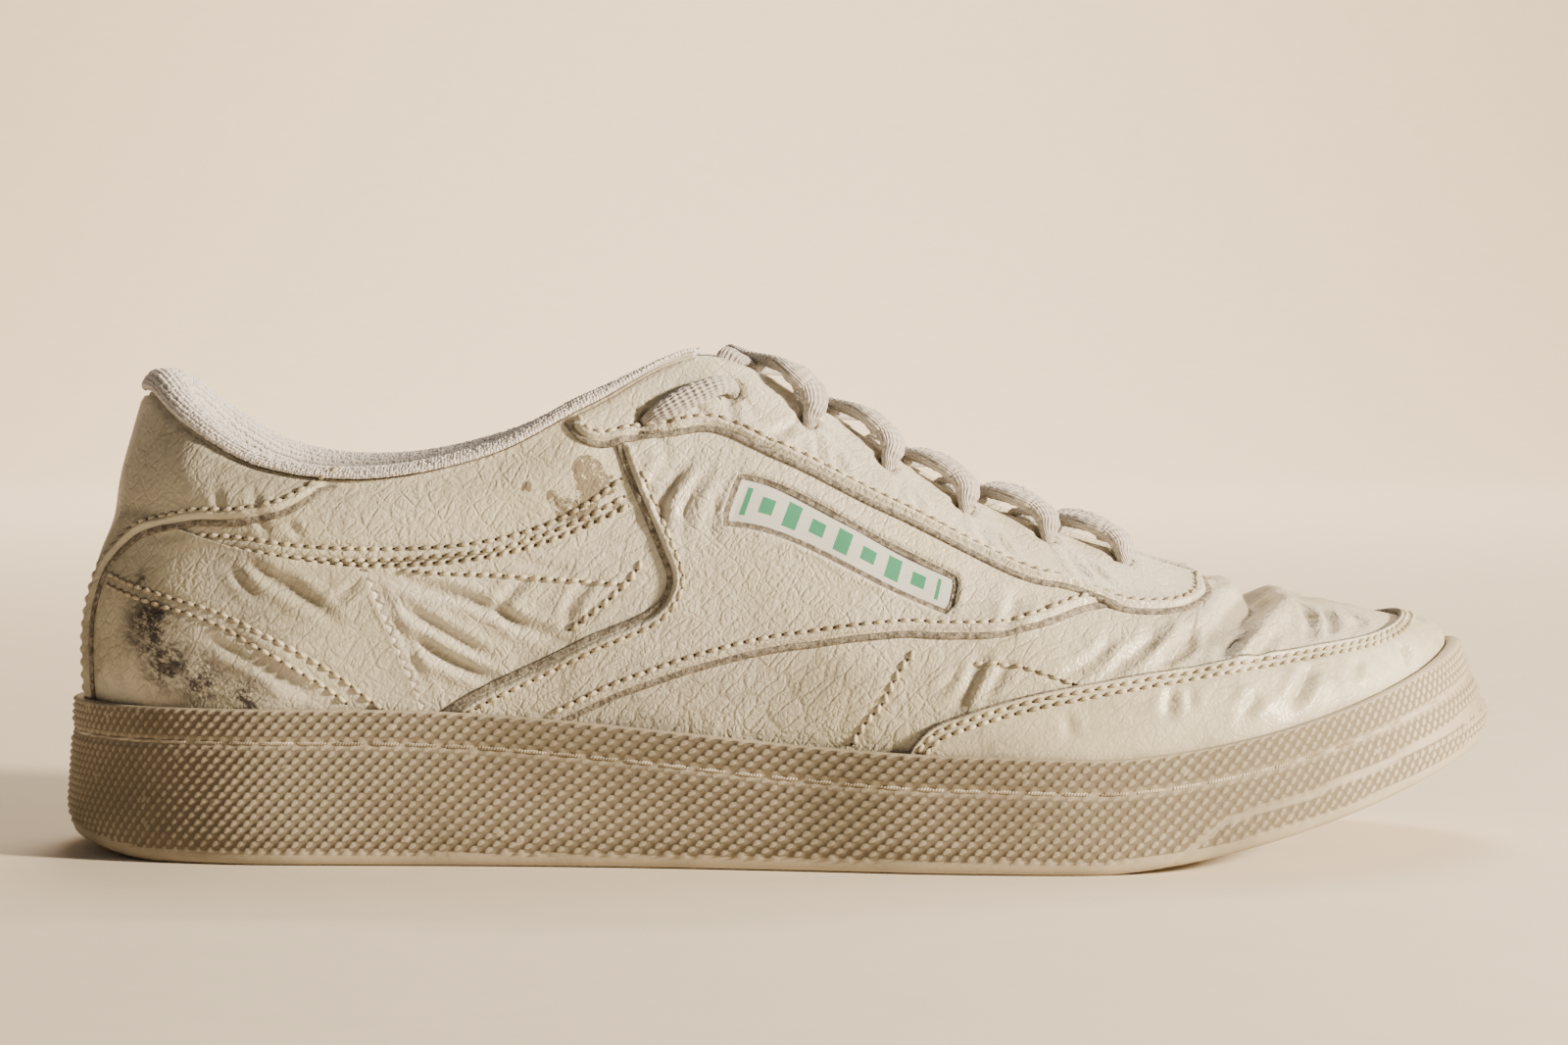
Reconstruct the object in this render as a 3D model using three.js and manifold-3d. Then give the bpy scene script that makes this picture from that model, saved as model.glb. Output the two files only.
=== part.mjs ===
// A worn low court sneaker for the right foot: cupsole, leather upper, padded collar, insole, tongue and laces.
// Millimetres, +Z up. +X runs from heel to toe, -Y is the outer side of the foot, z = 0 is the ground.
import * as THREE from 'three';
import { LoftGeometry } from 'three/addons/geometries/LoftGeometry.js';
import { mergeVertices } from 'three/addons/utils/BufferGeometryUtils.js';
import Module from 'manifold-3d';

const wasm = await Module();
wasm.setup();

// Driving dimensions.
const LENGTH = 300; // outsole, heel to toe
const BALL_WIDTH = 108; // outsole, across the ball
const COLLAR_HEIGHT = 95; // leather edge at the back of the heel, above the ground
const CLEARANCE = 0.3; // between neighbouring pieces

const RUBBER = { lip: 2, root: 2.6 }; // cupsole wall, at its lip and where it meets the tray floor
const TRAY_DEPTH = 10.5; // lip down to the tray floor
const LEATHER = 2; // upper's wall, lining included
const INSOLE_THICKNESS = 4;
const TONGUE_THICKNESS = 4.5;
const LACE = { width: 6.5, thickness: 1.8 };

const SMOOTHNESS = 3; // facets between two stations of the last
const WALL_STEPS = 8; // facets from the cupsole's lip to the top edge

// The last, as stations round the foot from the heel's centre along the outer side to the toe and back.
// outline: [x, y] of the outsole's widest line. top: [x, y, z] of the upper's top edge.
// swell: how far the wall leans out over the lip, how high that lean reaches, how full the shoulder is
// as a share of the way back to the lip, and how far below the top edge it sits.
const SAMPLE = { length: 300, ball: 108, collar: 95 };
const STATIONS = [
  { outline: [-150, 0], top: [-134.5, 0, 95.2], swell: [2.3, 19, 0.55, 21] },
  { outline: [-146, -17], top: [-131, -11, 95], swell: [2.3, 19, 0.5, 21] },
  { outline: [-133, -31], top: [-122, -22, 88], swell: [2.3, 18, 0.6, 18] },
  { outline: [-112, -38], top: [-106, -28.5, 80], swell: [2.5, 16, 0.75, 15] },
  { outline: [-86, -39.5], top: [-84, -31, 77.8], swell: [2.5, 16, 0.75, 14] },
  { outline: [-58, -40.5], top: [-60, -31, 82.5], swell: [2, 18, 0.6, 16] },
  { outline: [-28, -43], top: [-39, -28.5, 93], swell: [1.5, 20, 0.4, 18] },
  { outline: [2, -47.5], top: [-16, -19, 103.5], swell: [1.5, 22, 0.42, 14] },
  { outline: [32, -52.5], top: [8, -14, 92], swell: [1, 18, 0.42, 11] },
  { outline: [60, -54], top: [30, -12, 77.5], swell: [0.5, 17, 0.42, 9] },
  { outline: [87, -50], top: [52, -10.5, 68], swell: [0, 15.5, 0.45, 7.5] },
  { outline: [110, -41], top: [70, -9, 62], swell: [0, 13.5, 0.48, 7] },
  { outline: [129, -28], top: [82, -7.5, 58], swell: [0, 11, 0.5, 7] },
  { outline: [143, -11], top: [88.5, -3, 56], swell: [0, 9, 0.55, 7] },
  { outline: [150, 9], top: [90, 3, 55.5], swell: [0, 8.5, 0.55, 7.5] },
  { outline: [145.5, 27], top: [88.5, 9, 56], swell: [0, 9, 0.55, 7] },
  { outline: [131, 41], top: [82, 13, 58], swell: [0, 11.5, 0.5, 7] },
  { outline: [110, 50], top: [70, 14.5, 62], swell: [0, 13.5, 0.48, 7] },
  { outline: [84, 54], top: [52, 15, 68.5], swell: [0, 15.5, 0.45, 7.5] },
  { outline: [57, 52], top: [30, 15, 78], swell: [0.5, 18, 0.42, 9] },
  { outline: [28, 45.5], top: [8, 16, 92], swell: [1, 19, 0.42, 11] },
  { outline: [-2, 39], top: [-16, 20.5, 103.5], swell: [1.5, 22, 0.42, 14] },
  { outline: [-32, 35.5], top: [-39, 28, 93], swell: [1.5, 20, 0.4, 18] },
  { outline: [-62, 35.5], top: [-60, 30, 83.5], swell: [2, 18, 0.6, 16] },
  { outline: [-90, 37], top: [-84, 30, 79], swell: [2.5, 16, 0.75, 14] },
  { outline: [-115, 36], top: [-106, 28, 81], swell: [2.5, 16, 0.75, 15] },
  { outline: [-134, 29.5], top: [-122, 21.5, 88.5], swell: [2.3, 18, 0.6, 18] },
  { outline: [-146, 16.5], top: [-131, 10.5, 95], swell: [2.3, 19, 0.5, 21] },
];

const alongScale = LENGTH / SAMPLE.length;
const acrossScale = BALL_WIDTH / SAMPLE.ball;
const upScale = COLLAR_HEIGHT / SAMPLE.collar;
const outline = new THREE.CatmullRomCurve3(
  STATIONS.map(({ outline: [x, y] }) => new THREE.Vector3(x * alongScale, y * acrossScale, 0)),
  true,
  'catmullrom',
);
const topEdge = new THREE.CatmullRomCurve3(
  STATIONS.map(({ top: [x, y, z] }) => new THREE.Vector3(x * alongScale, y * acrossScale, z * upScale)),
  true,
  'catmullrom',
);
const [leans, leanHeights, shoulders, shoulderDrops] = [0, 1, 2, 3].map(
  (k) => new THREE.CatmullRomCurve3(STATIONS.map(({ swell }) => new THREE.Vector3(swell[k], 0, 0)), true, 'catmullrom'),
);

const RING = STATIONS.length * SMOOTHNESS;
const ringShares = Array.from({ length: RING }, (_, i) => i / RING);

const past = (x, start, span) => Math.max(0, (x - start) / span);

// Height of the outsole's underside: flat from heel to ball, a worn bevel behind and toe spring in front.
function undersideHeight(x) {
  const toeSpring = 19 * past(x, 62, 80) ** 1.53;
  const heelBevel = 3.5 * past(-x, 128, 22) ** 1.5;
  return toeSpring + heelBevel;
}

// Height of the cupsole's lip: 31 mm at the heel, 23 mm at the ball and 20 mm over the sprung toe.
function lipHeight(x) {
  const forward = THREE.MathUtils.smoothstep(x, -85, 40);
  return 19 * past(x, 62, 80) ** 1.53 + 31 - 8 * forward - 3 * past(x, 40, 110);
}

const trayHeight = (x) => lipHeight(x) - TRAY_DEPTH;

// How far the lip sits inside the widest line: the wall leans back more round the toe.
const lipInset = (x) => 1.5 + 5 * past(x, 95, 55) ** 1.5;

function outwardNormal(u) {
  const t = outline.getTangent(u);
  return new THREE.Vector3(t.y, -t.x, 0).normalize();
}

// A point of the outline at u, moved in by inset, at a height given by a function of x.
function outlinePoint(u, inset, height) {
  const at = outline.getPoint(u);
  const z = height(at.x);
  return at.addScaledVector(outwardNormal(u), -inset(at.x)).setZ(z);
}

const ringOf = (inset, height) => ringShares.map((u) => outlinePoint(u, inset, height));

// A ring folded flat: each point goes a share of the way to the middle of itself and its opposite number.
function foldedRing(ring, share) {
  return ring.map((point, i) => {
    const opposite = ring[(RING - i) % RING];
    return point.clone().lerp(point.clone().add(opposite).multiplyScalar(0.5), share);
  });
}

// Geometry with shared vertices merged, collapsed triangles dropped and faces pointing out.
function closed(geometry) {
  const positions = new THREE.BufferGeometry()
    .setAttribute('position', geometry.getAttribute('position'))
    .setIndex(geometry.getIndex());
  const merged = mergeVertices(positions, 1e-3);
  const kept = [];
  const corner = [0, 1, 2].map(() => new THREE.Vector3());
  let volume = 0;
  for (let i = 0; i < merged.index.count; i += 3) {
    const face = [0, 1, 2].map((k) => merged.index.getX(i + k));
    if (new Set(face).size < 3) continue;
    kept.push(face);
    face.forEach((vertex, k) => corner[k].fromBufferAttribute(merged.attributes.position, vertex));
    volume += corner[0].dot(corner[1].clone().cross(corner[2])) / 6;
  }
  merged.setIndex(kept.flatMap(([a, b, c]) => (volume > 0 ? [a, b, c] : [a, c, b])));
  return merged;
}

const skin = (rings) => closed(new LoftGeometry(rings));

function toManifold(geometry) {
  return new wasm.Manifold(
    new wasm.Mesh({
      numProp: 3,
      vertProperties: new Float32Array(geometry.attributes.position.array),
      triVerts: new Uint32Array(geometry.index.array),
    }),
  );
}

function fromManifold(solid) {
  const mesh = solid.getMesh();
  const geometry = new THREE.BufferGeometry();
  geometry.setAttribute('position', new THREE.BufferAttribute(mesh.vertProperties, 3));
  geometry.setIndex(new THREE.BufferAttribute(mesh.triVerts, 1));
  geometry.computeVertexNormals();
  return geometry;
}

// The upper's outer face. u runs round the last, v from the lip at 0 to the top edge at 1.
function upperPoint(u, v) {
  const foot = outlinePoint(u, (x) => lipInset(x) + RUBBER.lip + CLEARANCE, lipHeight);
  const top = topEdge.getPoint(u);
  const lean = outwardNormal(u).multiplyScalar(leans.getPoint(u).x);
  const hip = foot.clone().add(lean).setZ(foot.z + leanHeights.getPoint(u).x);
  const shoulder = top.clone().lerp(foot, shoulders.getPoint(u).x).setZ(top.z - shoulderDrops.getPoint(u).x);
  return new THREE.CubicBezierCurve3(foot, hip, shoulder, top).getPoint(v);
}

const NUDGE = 1e-3; // step for measuring slopes

function upperNormal(u, v) {
  const lower = Math.min(v, 1 - NUDGE);
  const here = upperPoint(u, lower);
  const along = upperPoint((u + NUDGE) % 1, lower).sub(here);
  const up = upperPoint(u, lower + NUDGE).sub(here);
  return along.cross(up).normalize();
}

const upperRing = (v, depth) =>
  ringShares.map((u) => upperPoint(u, v).addScaledVector(upperNormal(u, v), -depth));

// Cupsole: a moulded rubber tray with a rounded bottom edge, and a tread cut into its underside.
function cupsoleGeometry() {
  const bottomEdge = ringOf(() => 3.4, undersideHeight);
  const trayEdge = ringOf((x) => lipInset(x) + RUBBER.root, trayHeight);
  const body = skin([
    foldedRing(bottomEdge, 1),
    foldedRing(bottomEdge, 0.5),
    bottomEdge,
    ringOf(() => 1, (x) => undersideHeight(x) + 1.6),
    ringOf(() => 0, (x) => undersideHeight(x) + 6),
    ringOf((x) => lipInset(x) * 0.55, (x) => THREE.MathUtils.lerp(undersideHeight(x), lipHeight(x), 0.65)),
    ringOf(lipInset, lipHeight),
    ringOf((x) => lipInset(x) + RUBBER.lip, lipHeight),
    trayEdge,
    foldedRing(trayEdge, 0.5),
    foldedRing(trayEdge, 1),
  ]);
  const tread = treadCuts().map((cut) => toManifold(closed(cut)));
  return fromManifold(toManifold(body).subtract(wasm.Manifold.union(tread)));
}

const TREAD = { depth: 1.6, groove: 3, pitch: 12.5 };

// A cutter of the given plan shape, reaching the tread's depth into the underside at x.
function treadCutter(shape, x, y) {
  const cut = new THREE.ExtrudeGeometry(shape, { depth: 2 * TREAD.depth, bevelEnabled: false, curveSegments: 10 });
  return cut.translate(x, y, undersideHeight(x) - TREAD.depth);
}

function treadBar(x, y, length) {
  const shape = new THREE.Shape();
  const [w, h] = [TREAD.groove / 2, length / 2];
  shape.moveTo(-w, -h).lineTo(w, -h).lineTo(w, h).lineTo(-w, h).closePath();
  return treadCutter(shape, x, y);
}

// A row of bars across the sole, a pitch apart.
function treadBars(first, count, y, length) {
  return Array.from({ length: count }, (_, i) => treadBar(first + i * TREAD.pitch, y, length));
}

function treadRing(x, y, radius) {
  const shape = new THREE.Shape().absarc(0, 0, radius, 0, 2 * Math.PI);
  shape.holes.push(new THREE.Path().absarc(0, 0, radius - TREAD.groove, 0, 2 * Math.PI, true));
  return treadCutter(shape, x, y);
}

// A pivot circle under the ball, and straight bars under heel, waist and toes.
function treadCuts() {
  const pivot = [treadRing(38, 2, 24), treadRing(38, 2, 14)];
  return [...pivot, ...treadBars(-118, 4, 0, 46), ...treadBars(-32, 3, -2, 46), ...treadBars(75, 4, 4, 50)];
}

// Upper: one leather wall, open at the collar and throat, and open below where the cupsole closes it.
function upperGeometry() {
  const skirt = (extra) => ringOf(
    (x) => lipInset(x) + RUBBER.root + CLEARANCE + extra,
    (x) => trayHeight(x) + CLEARANCE,
  );
  const steps = Array.from({ length: WALL_STEPS + 1 }, (_, j) => j / WALL_STEPS);
  const outer = steps.map((v) => upperRing(v, 0));
  const inner = steps.map((v) => upperRing(v, LEATHER)).reverse();
  const outerSkirt = skirt(0);
  return skin([outerSkirt, ...outer, ...inner, skirt(LEATHER), outerSkirt]);
}

// Insole: a slab on the tray floor, inside the upper's skirt.
function insoleGeometry() {
  const inset = (x) => lipInset(x) + RUBBER.root + LEATHER + 3 * CLEARANCE;
  const lower = ringOf(inset, (x) => trayHeight(x) + CLEARANCE);
  const upper = ringOf(inset, (x) => trayHeight(x) + CLEARANCE + INSOLE_THICKNESS);
  return skin([foldedRing(lower, 1), lower, upper, foldedRing(upper, 1)]);
}

// Padded collar: a terry roll over the upper's top edge, from one corner of the throat round the heel to the other.
// profile: [out from the upper's outer face, up past its top edge].
const COLLAR = {
  front: -17, // x of its two ends
  taper: 26, // length over which it thins towards each end
  endHeight: 0.25, // share of its height above the edge that is left at each end
  profile: [
    [-2.8, 0.6], [0.2, 0.6], [0.7, 1.9], [-0.6, 4], [-3, 4.9], [-5.6, 4],
    [-7.6, 1], [-8.2, -4], [-7.6, -12], [-5.4, -22], [-3.3, -27], [-2.8, -27],
  ],
};

function collarGeometry() {
  const ring = ([out, up]) =>
    ringShares.map((u) => {
      const edge = upperPoint(u, 1);
      const below = Math.min(up, 0);
      const rise = edge.distanceTo(upperPoint(u, 0.8)) / 0.2;
      const v = THREE.MathUtils.clamp(1 + below / rise, 0, 1);
      const at = upperPoint(u, v).addScaledVector(upperNormal(u, v), out);
      const direction = edge.clone().sub(upperPoint(u, 0.95)).normalize();
      const fullness = THREE.MathUtils.smoothstep(COLLAR.front - edge.x, 0, COLLAR.taper);
      const height = up * THREE.MathUtils.lerp(COLLAR.endHeight, 1, fullness);
      return up > 0 ? at.addScaledVector(direction, Math.max(height, CLEARANCE)) : at;
    });
  const rings = COLLAR.profile.map(ring);
  const whole = toManifold(skin([...rings, rings[0]]));
  const front = toManifold(closed(new THREE.BoxGeometry(200, 200, 200).translate(COLLAR.front + 100, 0, 100)));
  return fromManifold(whole.subtract(front));
}

// A point on the upper's outer face, the given distance below its top edge and lifted off that face.
function belowTop(u, distance, lift) {
  const rise = upperPoint(u, 1).distanceTo(upperPoint(u, 0.85)) / 0.15;
  const v = 1 - distance / rise;
  return upperPoint(u, v).addScaledVector(upperNormal(u, v), lift);
}

const stationShare = (station) => station / STATIONS.length;
const shareOn = (side, station) => (side < 0 ? stationShare(station) : 1 - stationShare(station));

// Tongue: a padded strip under the throat, its sides tucked behind the eyelet rows and its root under the vamp.
const TONGUE = {
  stations: [12.5, 12, 11.5, 11, 10.5, 10, 9.5, 9, 8.5, 8, 7.5, 7.1],
  flap: 15, // how far its sides reach behind the eyelet rows
  rootReach: 9, // how far its root reaches under the vamp
  rootSpread: 0.8, // half the root's width, in stations either side of the toe's centre
  sag: 2, // how far its middle hangs below the throat's edges
  depth: LEATHER + 1.7, // its face's depth behind the upper's outer face
};
const TOE_STATION = STATIONS.length / 2;

function tongueFace(station, depth) {
  const tuck = (side, share) => belowTop(shareOn(side, station), TONGUE.flap * share, -depth);
  const [left, right] = [-1, 1].map((side) => belowTop(shareOn(side, station), 0, 0));
  const middle = [0.25, 0.5, 0.75].map((t) => {
    const at = left.clone().lerp(right, t);
    return at.setZ(at.z - TONGUE.sag - (depth - TONGUE.depth));
  });
  return [tuck(-1, 1), tuck(-1, 0.5), tuck(-1, 0.08), ...middle, tuck(1, 0.08), tuck(1, 0.5), tuck(1, 1)];
}

function tongueRoot(depth) {
  return Array.from({ length: 9 }, (_, i) => {
    const station = TOE_STATION + TONGUE.rootSpread * (i / 4 - 1);
    return belowTop(stationShare(station), TONGUE.rootReach, -depth);
  });
}

function tongueGeometry() {
  const faces = (depth) => [tongueRoot(depth), ...TONGUE.stations.map((station) => tongueFace(station, depth))];
  const over = faces(TONGUE.depth);
  const under = faces(TONGUE.depth + TONGUE_THICKNESS);
  const sections = over.map((points, i) => [...points, ...under[i].reverse()]);
  return closed(new LoftGeometry(sections, { capStart: true, capEnd: true }));
}

// A flat lace laid along a curve, its width square to the curve and to the given outward direction.
function laceGeometry(curve, outward, steps) {
  const sections = [];
  for (let i = 0; i <= steps; i += 1) {
    const at = curve.getPoint(i / steps);
    const along = curve.getTangent(i / steps);
    const across = along.clone().cross(outward(i / steps)).normalize();
    const out = across.clone().cross(along).normalize();
    const [w, t] = [LACE.width / 2, LACE.thickness / 2];
    const corners = [[w, 0], [0.7 * w, -t], [-0.7 * w, -t], [-w, 0], [-0.7 * w, t], [0.7 * w, t]];
    sections.push(corners.map(([a, b]) => at.clone().addScaledVector(across, a).addScaledVector(out, b)));
  }
  return closed(new LoftGeometry(sections, { capStart: true, capEnd: true }));
}

// Eyelet rows, front to back: stations of the last, and how far down from the throat's edge the holes sit.
const EYELETS = { stations: [10.6, 9.83, 9.1, 8.4, 7.72, 7.08, 6.4], depth: 10 };
const CROSSED = EYELETS.stations.slice(0, -1); // the last two of each side are joined by a short locking run

// One lace run: out of an eyelet on one side, over the throat's edge and across to just short of the other.
function laceRun(side, from, to) {
  const start = shareOn(side, from);
  const end = shareOn(-side, to);
  const middleOfRun = belowTop(shareOn(side, (from + to) / 2), 0, 0)
    .lerp(belowTop(shareOn(-side, (from + to) / 2), 0, 0), 0.5);
  const curve = new THREE.CatmullRomCurve3([
    belowTop(start, EYELETS.depth, 2.2),
    belowTop(start, EYELETS.depth * 0.5, 3.4),
    belowTop(shareOn(side, from - 0.12), 0, 3.6),
    middleOfRun.setZ(middleOfRun.z + 3.4),
    belowTop(end, 0, 2.8),
  ]);
  return laceGeometry(curve, () => new THREE.Vector3(0.45, 0, 1), 8);
}

// The criss-cross lacing as one joined solid: two runs for each pair of neighbouring eyelets.
function lacingGeometry() {
  const pairs = CROSSED.slice(1).map((to, i) => [CROSSED[i], to]);
  const runs = pairs.flatMap(([from, to]) => [-1, 1].map((side) => toManifold(laceRun(side, from, to))));
  return fromManifold(wasm.Manifold.union(runs));
}

function laceLockGeometry(side) {
  const [front, back] = EYELETS.stations.slice(-2);
  const spots = [0.08, 0.5, 0.92].map((t) => THREE.MathUtils.lerp(front, back, t));
  const curve = new THREE.CatmullRomCurve3(
    spots.map((station) => belowTop(shareOn(side, station), EYELETS.depth, 1.6)),
  );
  return laceGeometry(curve, () => upperNormal(shareOn(side, spots[1]), 0.9), 4);
}

const cloth = (color, roughness) => new THREE.MeshStandardMaterial({ color, roughness, metalness: 0 });
const finishes = {
  rubber: cloth(0xb7a98c, 0.75),
  leather: cloth(0xe2dccb, 0.5),
  terry: cloth(0xcfc8c4, 0.95),
  lace: cloth(0xddd6cf, 0.9),
  foam: cloth(0xc9c1ae, 0.9),
};

const shoe = new THREE.Group();
shoe.name = 'court_sneaker';

function add(name, geometry, finish) {
  const mesh = new THREE.Mesh(geometry, finishes[finish]);
  mesh.name = name;
  shoe.add(mesh);
}

add('cupsole', cupsoleGeometry(), 'rubber');
add('upper', upperGeometry(), 'leather');
add('insole', insoleGeometry(), 'foam');
add('collar_lining', collarGeometry(), 'terry');
add('tongue', tongueGeometry(), 'leather');
add('lacing', lacingGeometry(), 'lace');
add('lace_lock_outer', laceLockGeometry(-1), 'lace');
add('lace_lock_inner', laceLockGeometry(1), 'lace');

export default shoe;
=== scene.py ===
"""A worn low court sneaker for the right foot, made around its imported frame.

Shapes and settings are in millimetres until a mesh is written. Materials and lights are in metres.
A place on the upper is given as (station, share). The station counts 28 sections of the last, from the heel's
centre along the outer side to the toe at 14 and back along the inner side, and the share goes from 0 at the
cupsole's lip to 1 at the upper's top edge.
"""
import math

import bmesh
import bpy
import numpy as np
from bpy.props import FloatProperty, FloatVectorProperty, PointerProperty
from mathutils import Matrix, Vector
from mathutils.kdtree import KDTree


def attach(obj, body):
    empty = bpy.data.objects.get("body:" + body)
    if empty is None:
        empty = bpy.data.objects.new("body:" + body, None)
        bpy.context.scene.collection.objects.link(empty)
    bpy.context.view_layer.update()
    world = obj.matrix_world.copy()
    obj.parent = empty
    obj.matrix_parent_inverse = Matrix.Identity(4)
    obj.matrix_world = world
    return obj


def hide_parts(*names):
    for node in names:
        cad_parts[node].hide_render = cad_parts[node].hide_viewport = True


bl_info = {
    "name": "Worn Court Sneaker",
    "version": (1, 0, 0),
    "blender": (4, 5, 0),
    "location": "View3D > Sidebar > Sneaker",
    "description": "Builds a worn leather court sneaker around its packed frame",
    "category": "Add Mesh",
}

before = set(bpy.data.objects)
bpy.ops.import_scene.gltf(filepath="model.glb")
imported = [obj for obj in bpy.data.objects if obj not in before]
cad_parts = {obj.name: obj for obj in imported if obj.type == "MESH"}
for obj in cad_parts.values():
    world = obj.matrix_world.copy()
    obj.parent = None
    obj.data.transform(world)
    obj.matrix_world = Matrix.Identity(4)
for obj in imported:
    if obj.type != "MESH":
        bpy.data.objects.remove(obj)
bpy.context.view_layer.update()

MM = 0.001
ROOT = "root"

# ----------------------------------------------------------------------------------------------------
# The last
# ----------------------------------------------------------------------------------------------------

# Outline of the outsole (x, y), top edge of the upper (x, y, z), and the wall's swell between them: how far it
# leans out, how high that reaches, how full the shoulder is and how far below the top edge it sits.
STATIONS = (
    ((-150, 0), (-134.5, 0, 95.2), (2.3, 19, 0.55, 21)),
    ((-146, -17), (-131, -11, 95), (2.3, 19, 0.5, 21)),
    ((-133, -31), (-122, -22, 88), (2.3, 18, 0.6, 18)),
    ((-112, -38), (-106, -28.5, 80), (2.5, 16, 0.75, 15)),
    ((-86, -39.5), (-84, -31, 77.8), (2.5, 16, 0.75, 14)),
    ((-58, -40.5), (-60, -31, 82.5), (2, 18, 0.6, 16)),
    ((-28, -43), (-39, -28.5, 93), (1.5, 20, 0.4, 18)),
    ((2, -47.5), (-16, -19, 103.5), (1.5, 22, 0.42, 14)),
    ((32, -52.5), (8, -14, 92), (1, 18, 0.42, 11)),
    ((60, -54), (30, -12, 77.5), (0.5, 17, 0.42, 9)),
    ((87, -50), (52, -10.5, 68), (0, 15.5, 0.45, 7.5)),
    ((110, -41), (70, -9, 62), (0, 13.5, 0.48, 7)),
    ((129, -28), (82, -7.5, 58), (0, 11, 0.5, 7)),
    ((143, -11), (88.5, -3, 56), (0, 9, 0.55, 7)),
    ((150, 9), (90, 3, 55.5), (0, 8.5, 0.55, 7.5)),
    ((145.5, 27), (88.5, 9, 56), (0, 9, 0.55, 7)),
    ((131, 41), (82, 13, 58), (0, 11.5, 0.5, 7)),
    ((110, 50), (70, 14.5, 62), (0, 13.5, 0.48, 7)),
    ((84, 54), (52, 15, 68.5), (0, 15.5, 0.45, 7.5)),
    ((57, 52), (30, 15, 78), (0.5, 18, 0.42, 9)),
    ((28, 45.5), (8, 16, 92), (1, 19, 0.42, 11)),
    ((-2, 39), (-16, 20.5, 103.5), (1.5, 22, 0.42, 14)),
    ((-32, 35.5), (-39, 28, 93), (1.5, 20, 0.4, 18)),
    ((-62, 35.5), (-60, 30, 83.5), (2, 18, 0.6, 16)),
    ((-90, 37), (-84, 30, 79), (2.5, 16, 0.75, 14)),
    ((-115, 36), (-106, 28, 81), (2.5, 16, 0.75, 15)),
    ((-134, 29.5), (-122, 21.5, 88.5), (2.3, 18, 0.6, 18)),
    ((-146, 16.5), (-131, 10.5, 95), (2.3, 19, 0.5, 21)),
)
COUNT = len(STATIONS)
TOE = COUNT / 2
OUTLINE, TOP_EDGE, SWELL = (np.array([station[k] for station in STATIONS], float) for k in range(3))
LIP_WALL = 2.0  # rubber at the cupsole's lip
ROOT_WALL = 2.6  # rubber where the wall meets the tray
CLEARANCE = 0.3
TRAY_DEPTH = 10.5


def cubic(t, here, leave, after, arrive):
    """A curve from here to after, with its direction at both ends, at shares t of its way."""
    return (
        (2 * t**3 - 3 * t**2 + 1) * here
        + (t**3 - 2 * t**2 + t) * leave
        + (3 * t**2 - 2 * t**3) * after
        + (t**3 - t**2) * arrive
    )


def along(table, s):
    """A closed smooth curve through the table's rows, at station s."""
    s = np.asarray(s, float) % COUNT
    i = np.floor(s).astype(int)
    t = (s - i)[..., None]
    before, here, after, beyond = (table[(i + k) % COUNT] for k in (-1, 0, 1, 2))
    return cubic(t, here, (after - before) / 2, after, (beyond - here) / 2)


def past(x, start, span):
    return np.maximum(0, (x - start) / span)


def smooth(x, low, high):
    t = np.clip((x - low) / (high - low), 0, 1)
    return t * t * (3 - 2 * t)


def bump(x, middle, width):
    return np.exp(-(((x - middle) / width) ** 2))


def underside_height(x):
    return 19 * past(x, 62, 80) ** 1.53 + 3.5 * past(-x, 128, 22) ** 1.5


def lip_height(x):
    return 19 * past(x, 62, 80) ** 1.53 + 31 - 8 * smooth(x, -85, 40) - 3 * past(x, 40, 110)


def lip_inset(x):
    return 1.5 + 5 * past(x, 95, 55) ** 1.5


def unit(vectors):
    return vectors / np.linalg.norm(vectors, axis=-1, keepdims=True)


def outward(s):
    tangent = along(OUTLINE, s + 1e-3) - along(OUTLINE, s - 1e-3)
    return unit(np.stack([tangent[..., 1], -tangent[..., 0]], -1))


def on_outline(s, inset, height):
    """Points inset from the outsole's outline, inset and height being functions of x."""
    at = along(OUTLINE, s)
    x = at[..., 0]
    moved = at - outward(s) * inset(x)[..., None]
    return np.concatenate([moved, height(x)[..., None]], -1)


def surface(s, v):
    """The upper's outer face."""
    v = np.asarray(v, float)[..., None]
    swell = along(SWELL, s)
    foot = on_outline(s, lambda x: lip_inset(x) + LIP_WALL + CLEARANCE, lip_height)
    top = along(TOP_EDGE, s)
    hip = foot.copy()
    hip[..., :2] += outward(s) * swell[..., 0:1]
    hip[..., 2] += swell[..., 1]
    shoulder = top + (foot - top) * swell[..., 2:3]
    shoulder[..., 2] = top[..., 2] - swell[..., 3]
    return (1 - v) ** 3 * foot + 3 * (1 - v) ** 2 * v * hip + 3 * (1 - v) * v**2 * shoulder + v**3 * top


NUDGE = 1e-3


def slopes(s, v):
    """The surface's point, its change per station and per share, and its outward normal."""
    s, v = np.asarray(s, float), np.asarray(v, float)
    per_station = (surface(s + NUDGE, v) - surface(s - NUDGE, v)) / (2 * NUDGE)
    per_share = (surface(s, v + NUDGE) - surface(s, v - NUDGE)) / (2 * NUDGE)
    return surface(s, v), per_station, per_share, unit(np.cross(per_station, per_share))


def shifted(places, directions, distance):
    """Places (station, share) moved over the surface by a distance along directions that lie on it."""
    _, a, b, _ = slopes(places[:, 0], places[:, 1])
    delta = directions * np.reshape(distance, (-1, 1))
    aa, ab, bb = (a * a).sum(1), (a * b).sum(1), (b * b).sum(1)
    da, db = (a * delta).sum(1), (b * delta).sum(1)
    scale = aa * bb - ab * ab
    return places + np.stack([(bb * da - ab * db) / scale, (aa * db - ab * da) / scale], 1)


def other_side(places):
    return [(COUNT - s, v) for s, v in reversed(places)]


def across_heel(places):
    """The same as other_side, with stations that run on below 0 from the heel's centre."""
    return [(-s, v) for s, v in reversed(places)]


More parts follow.
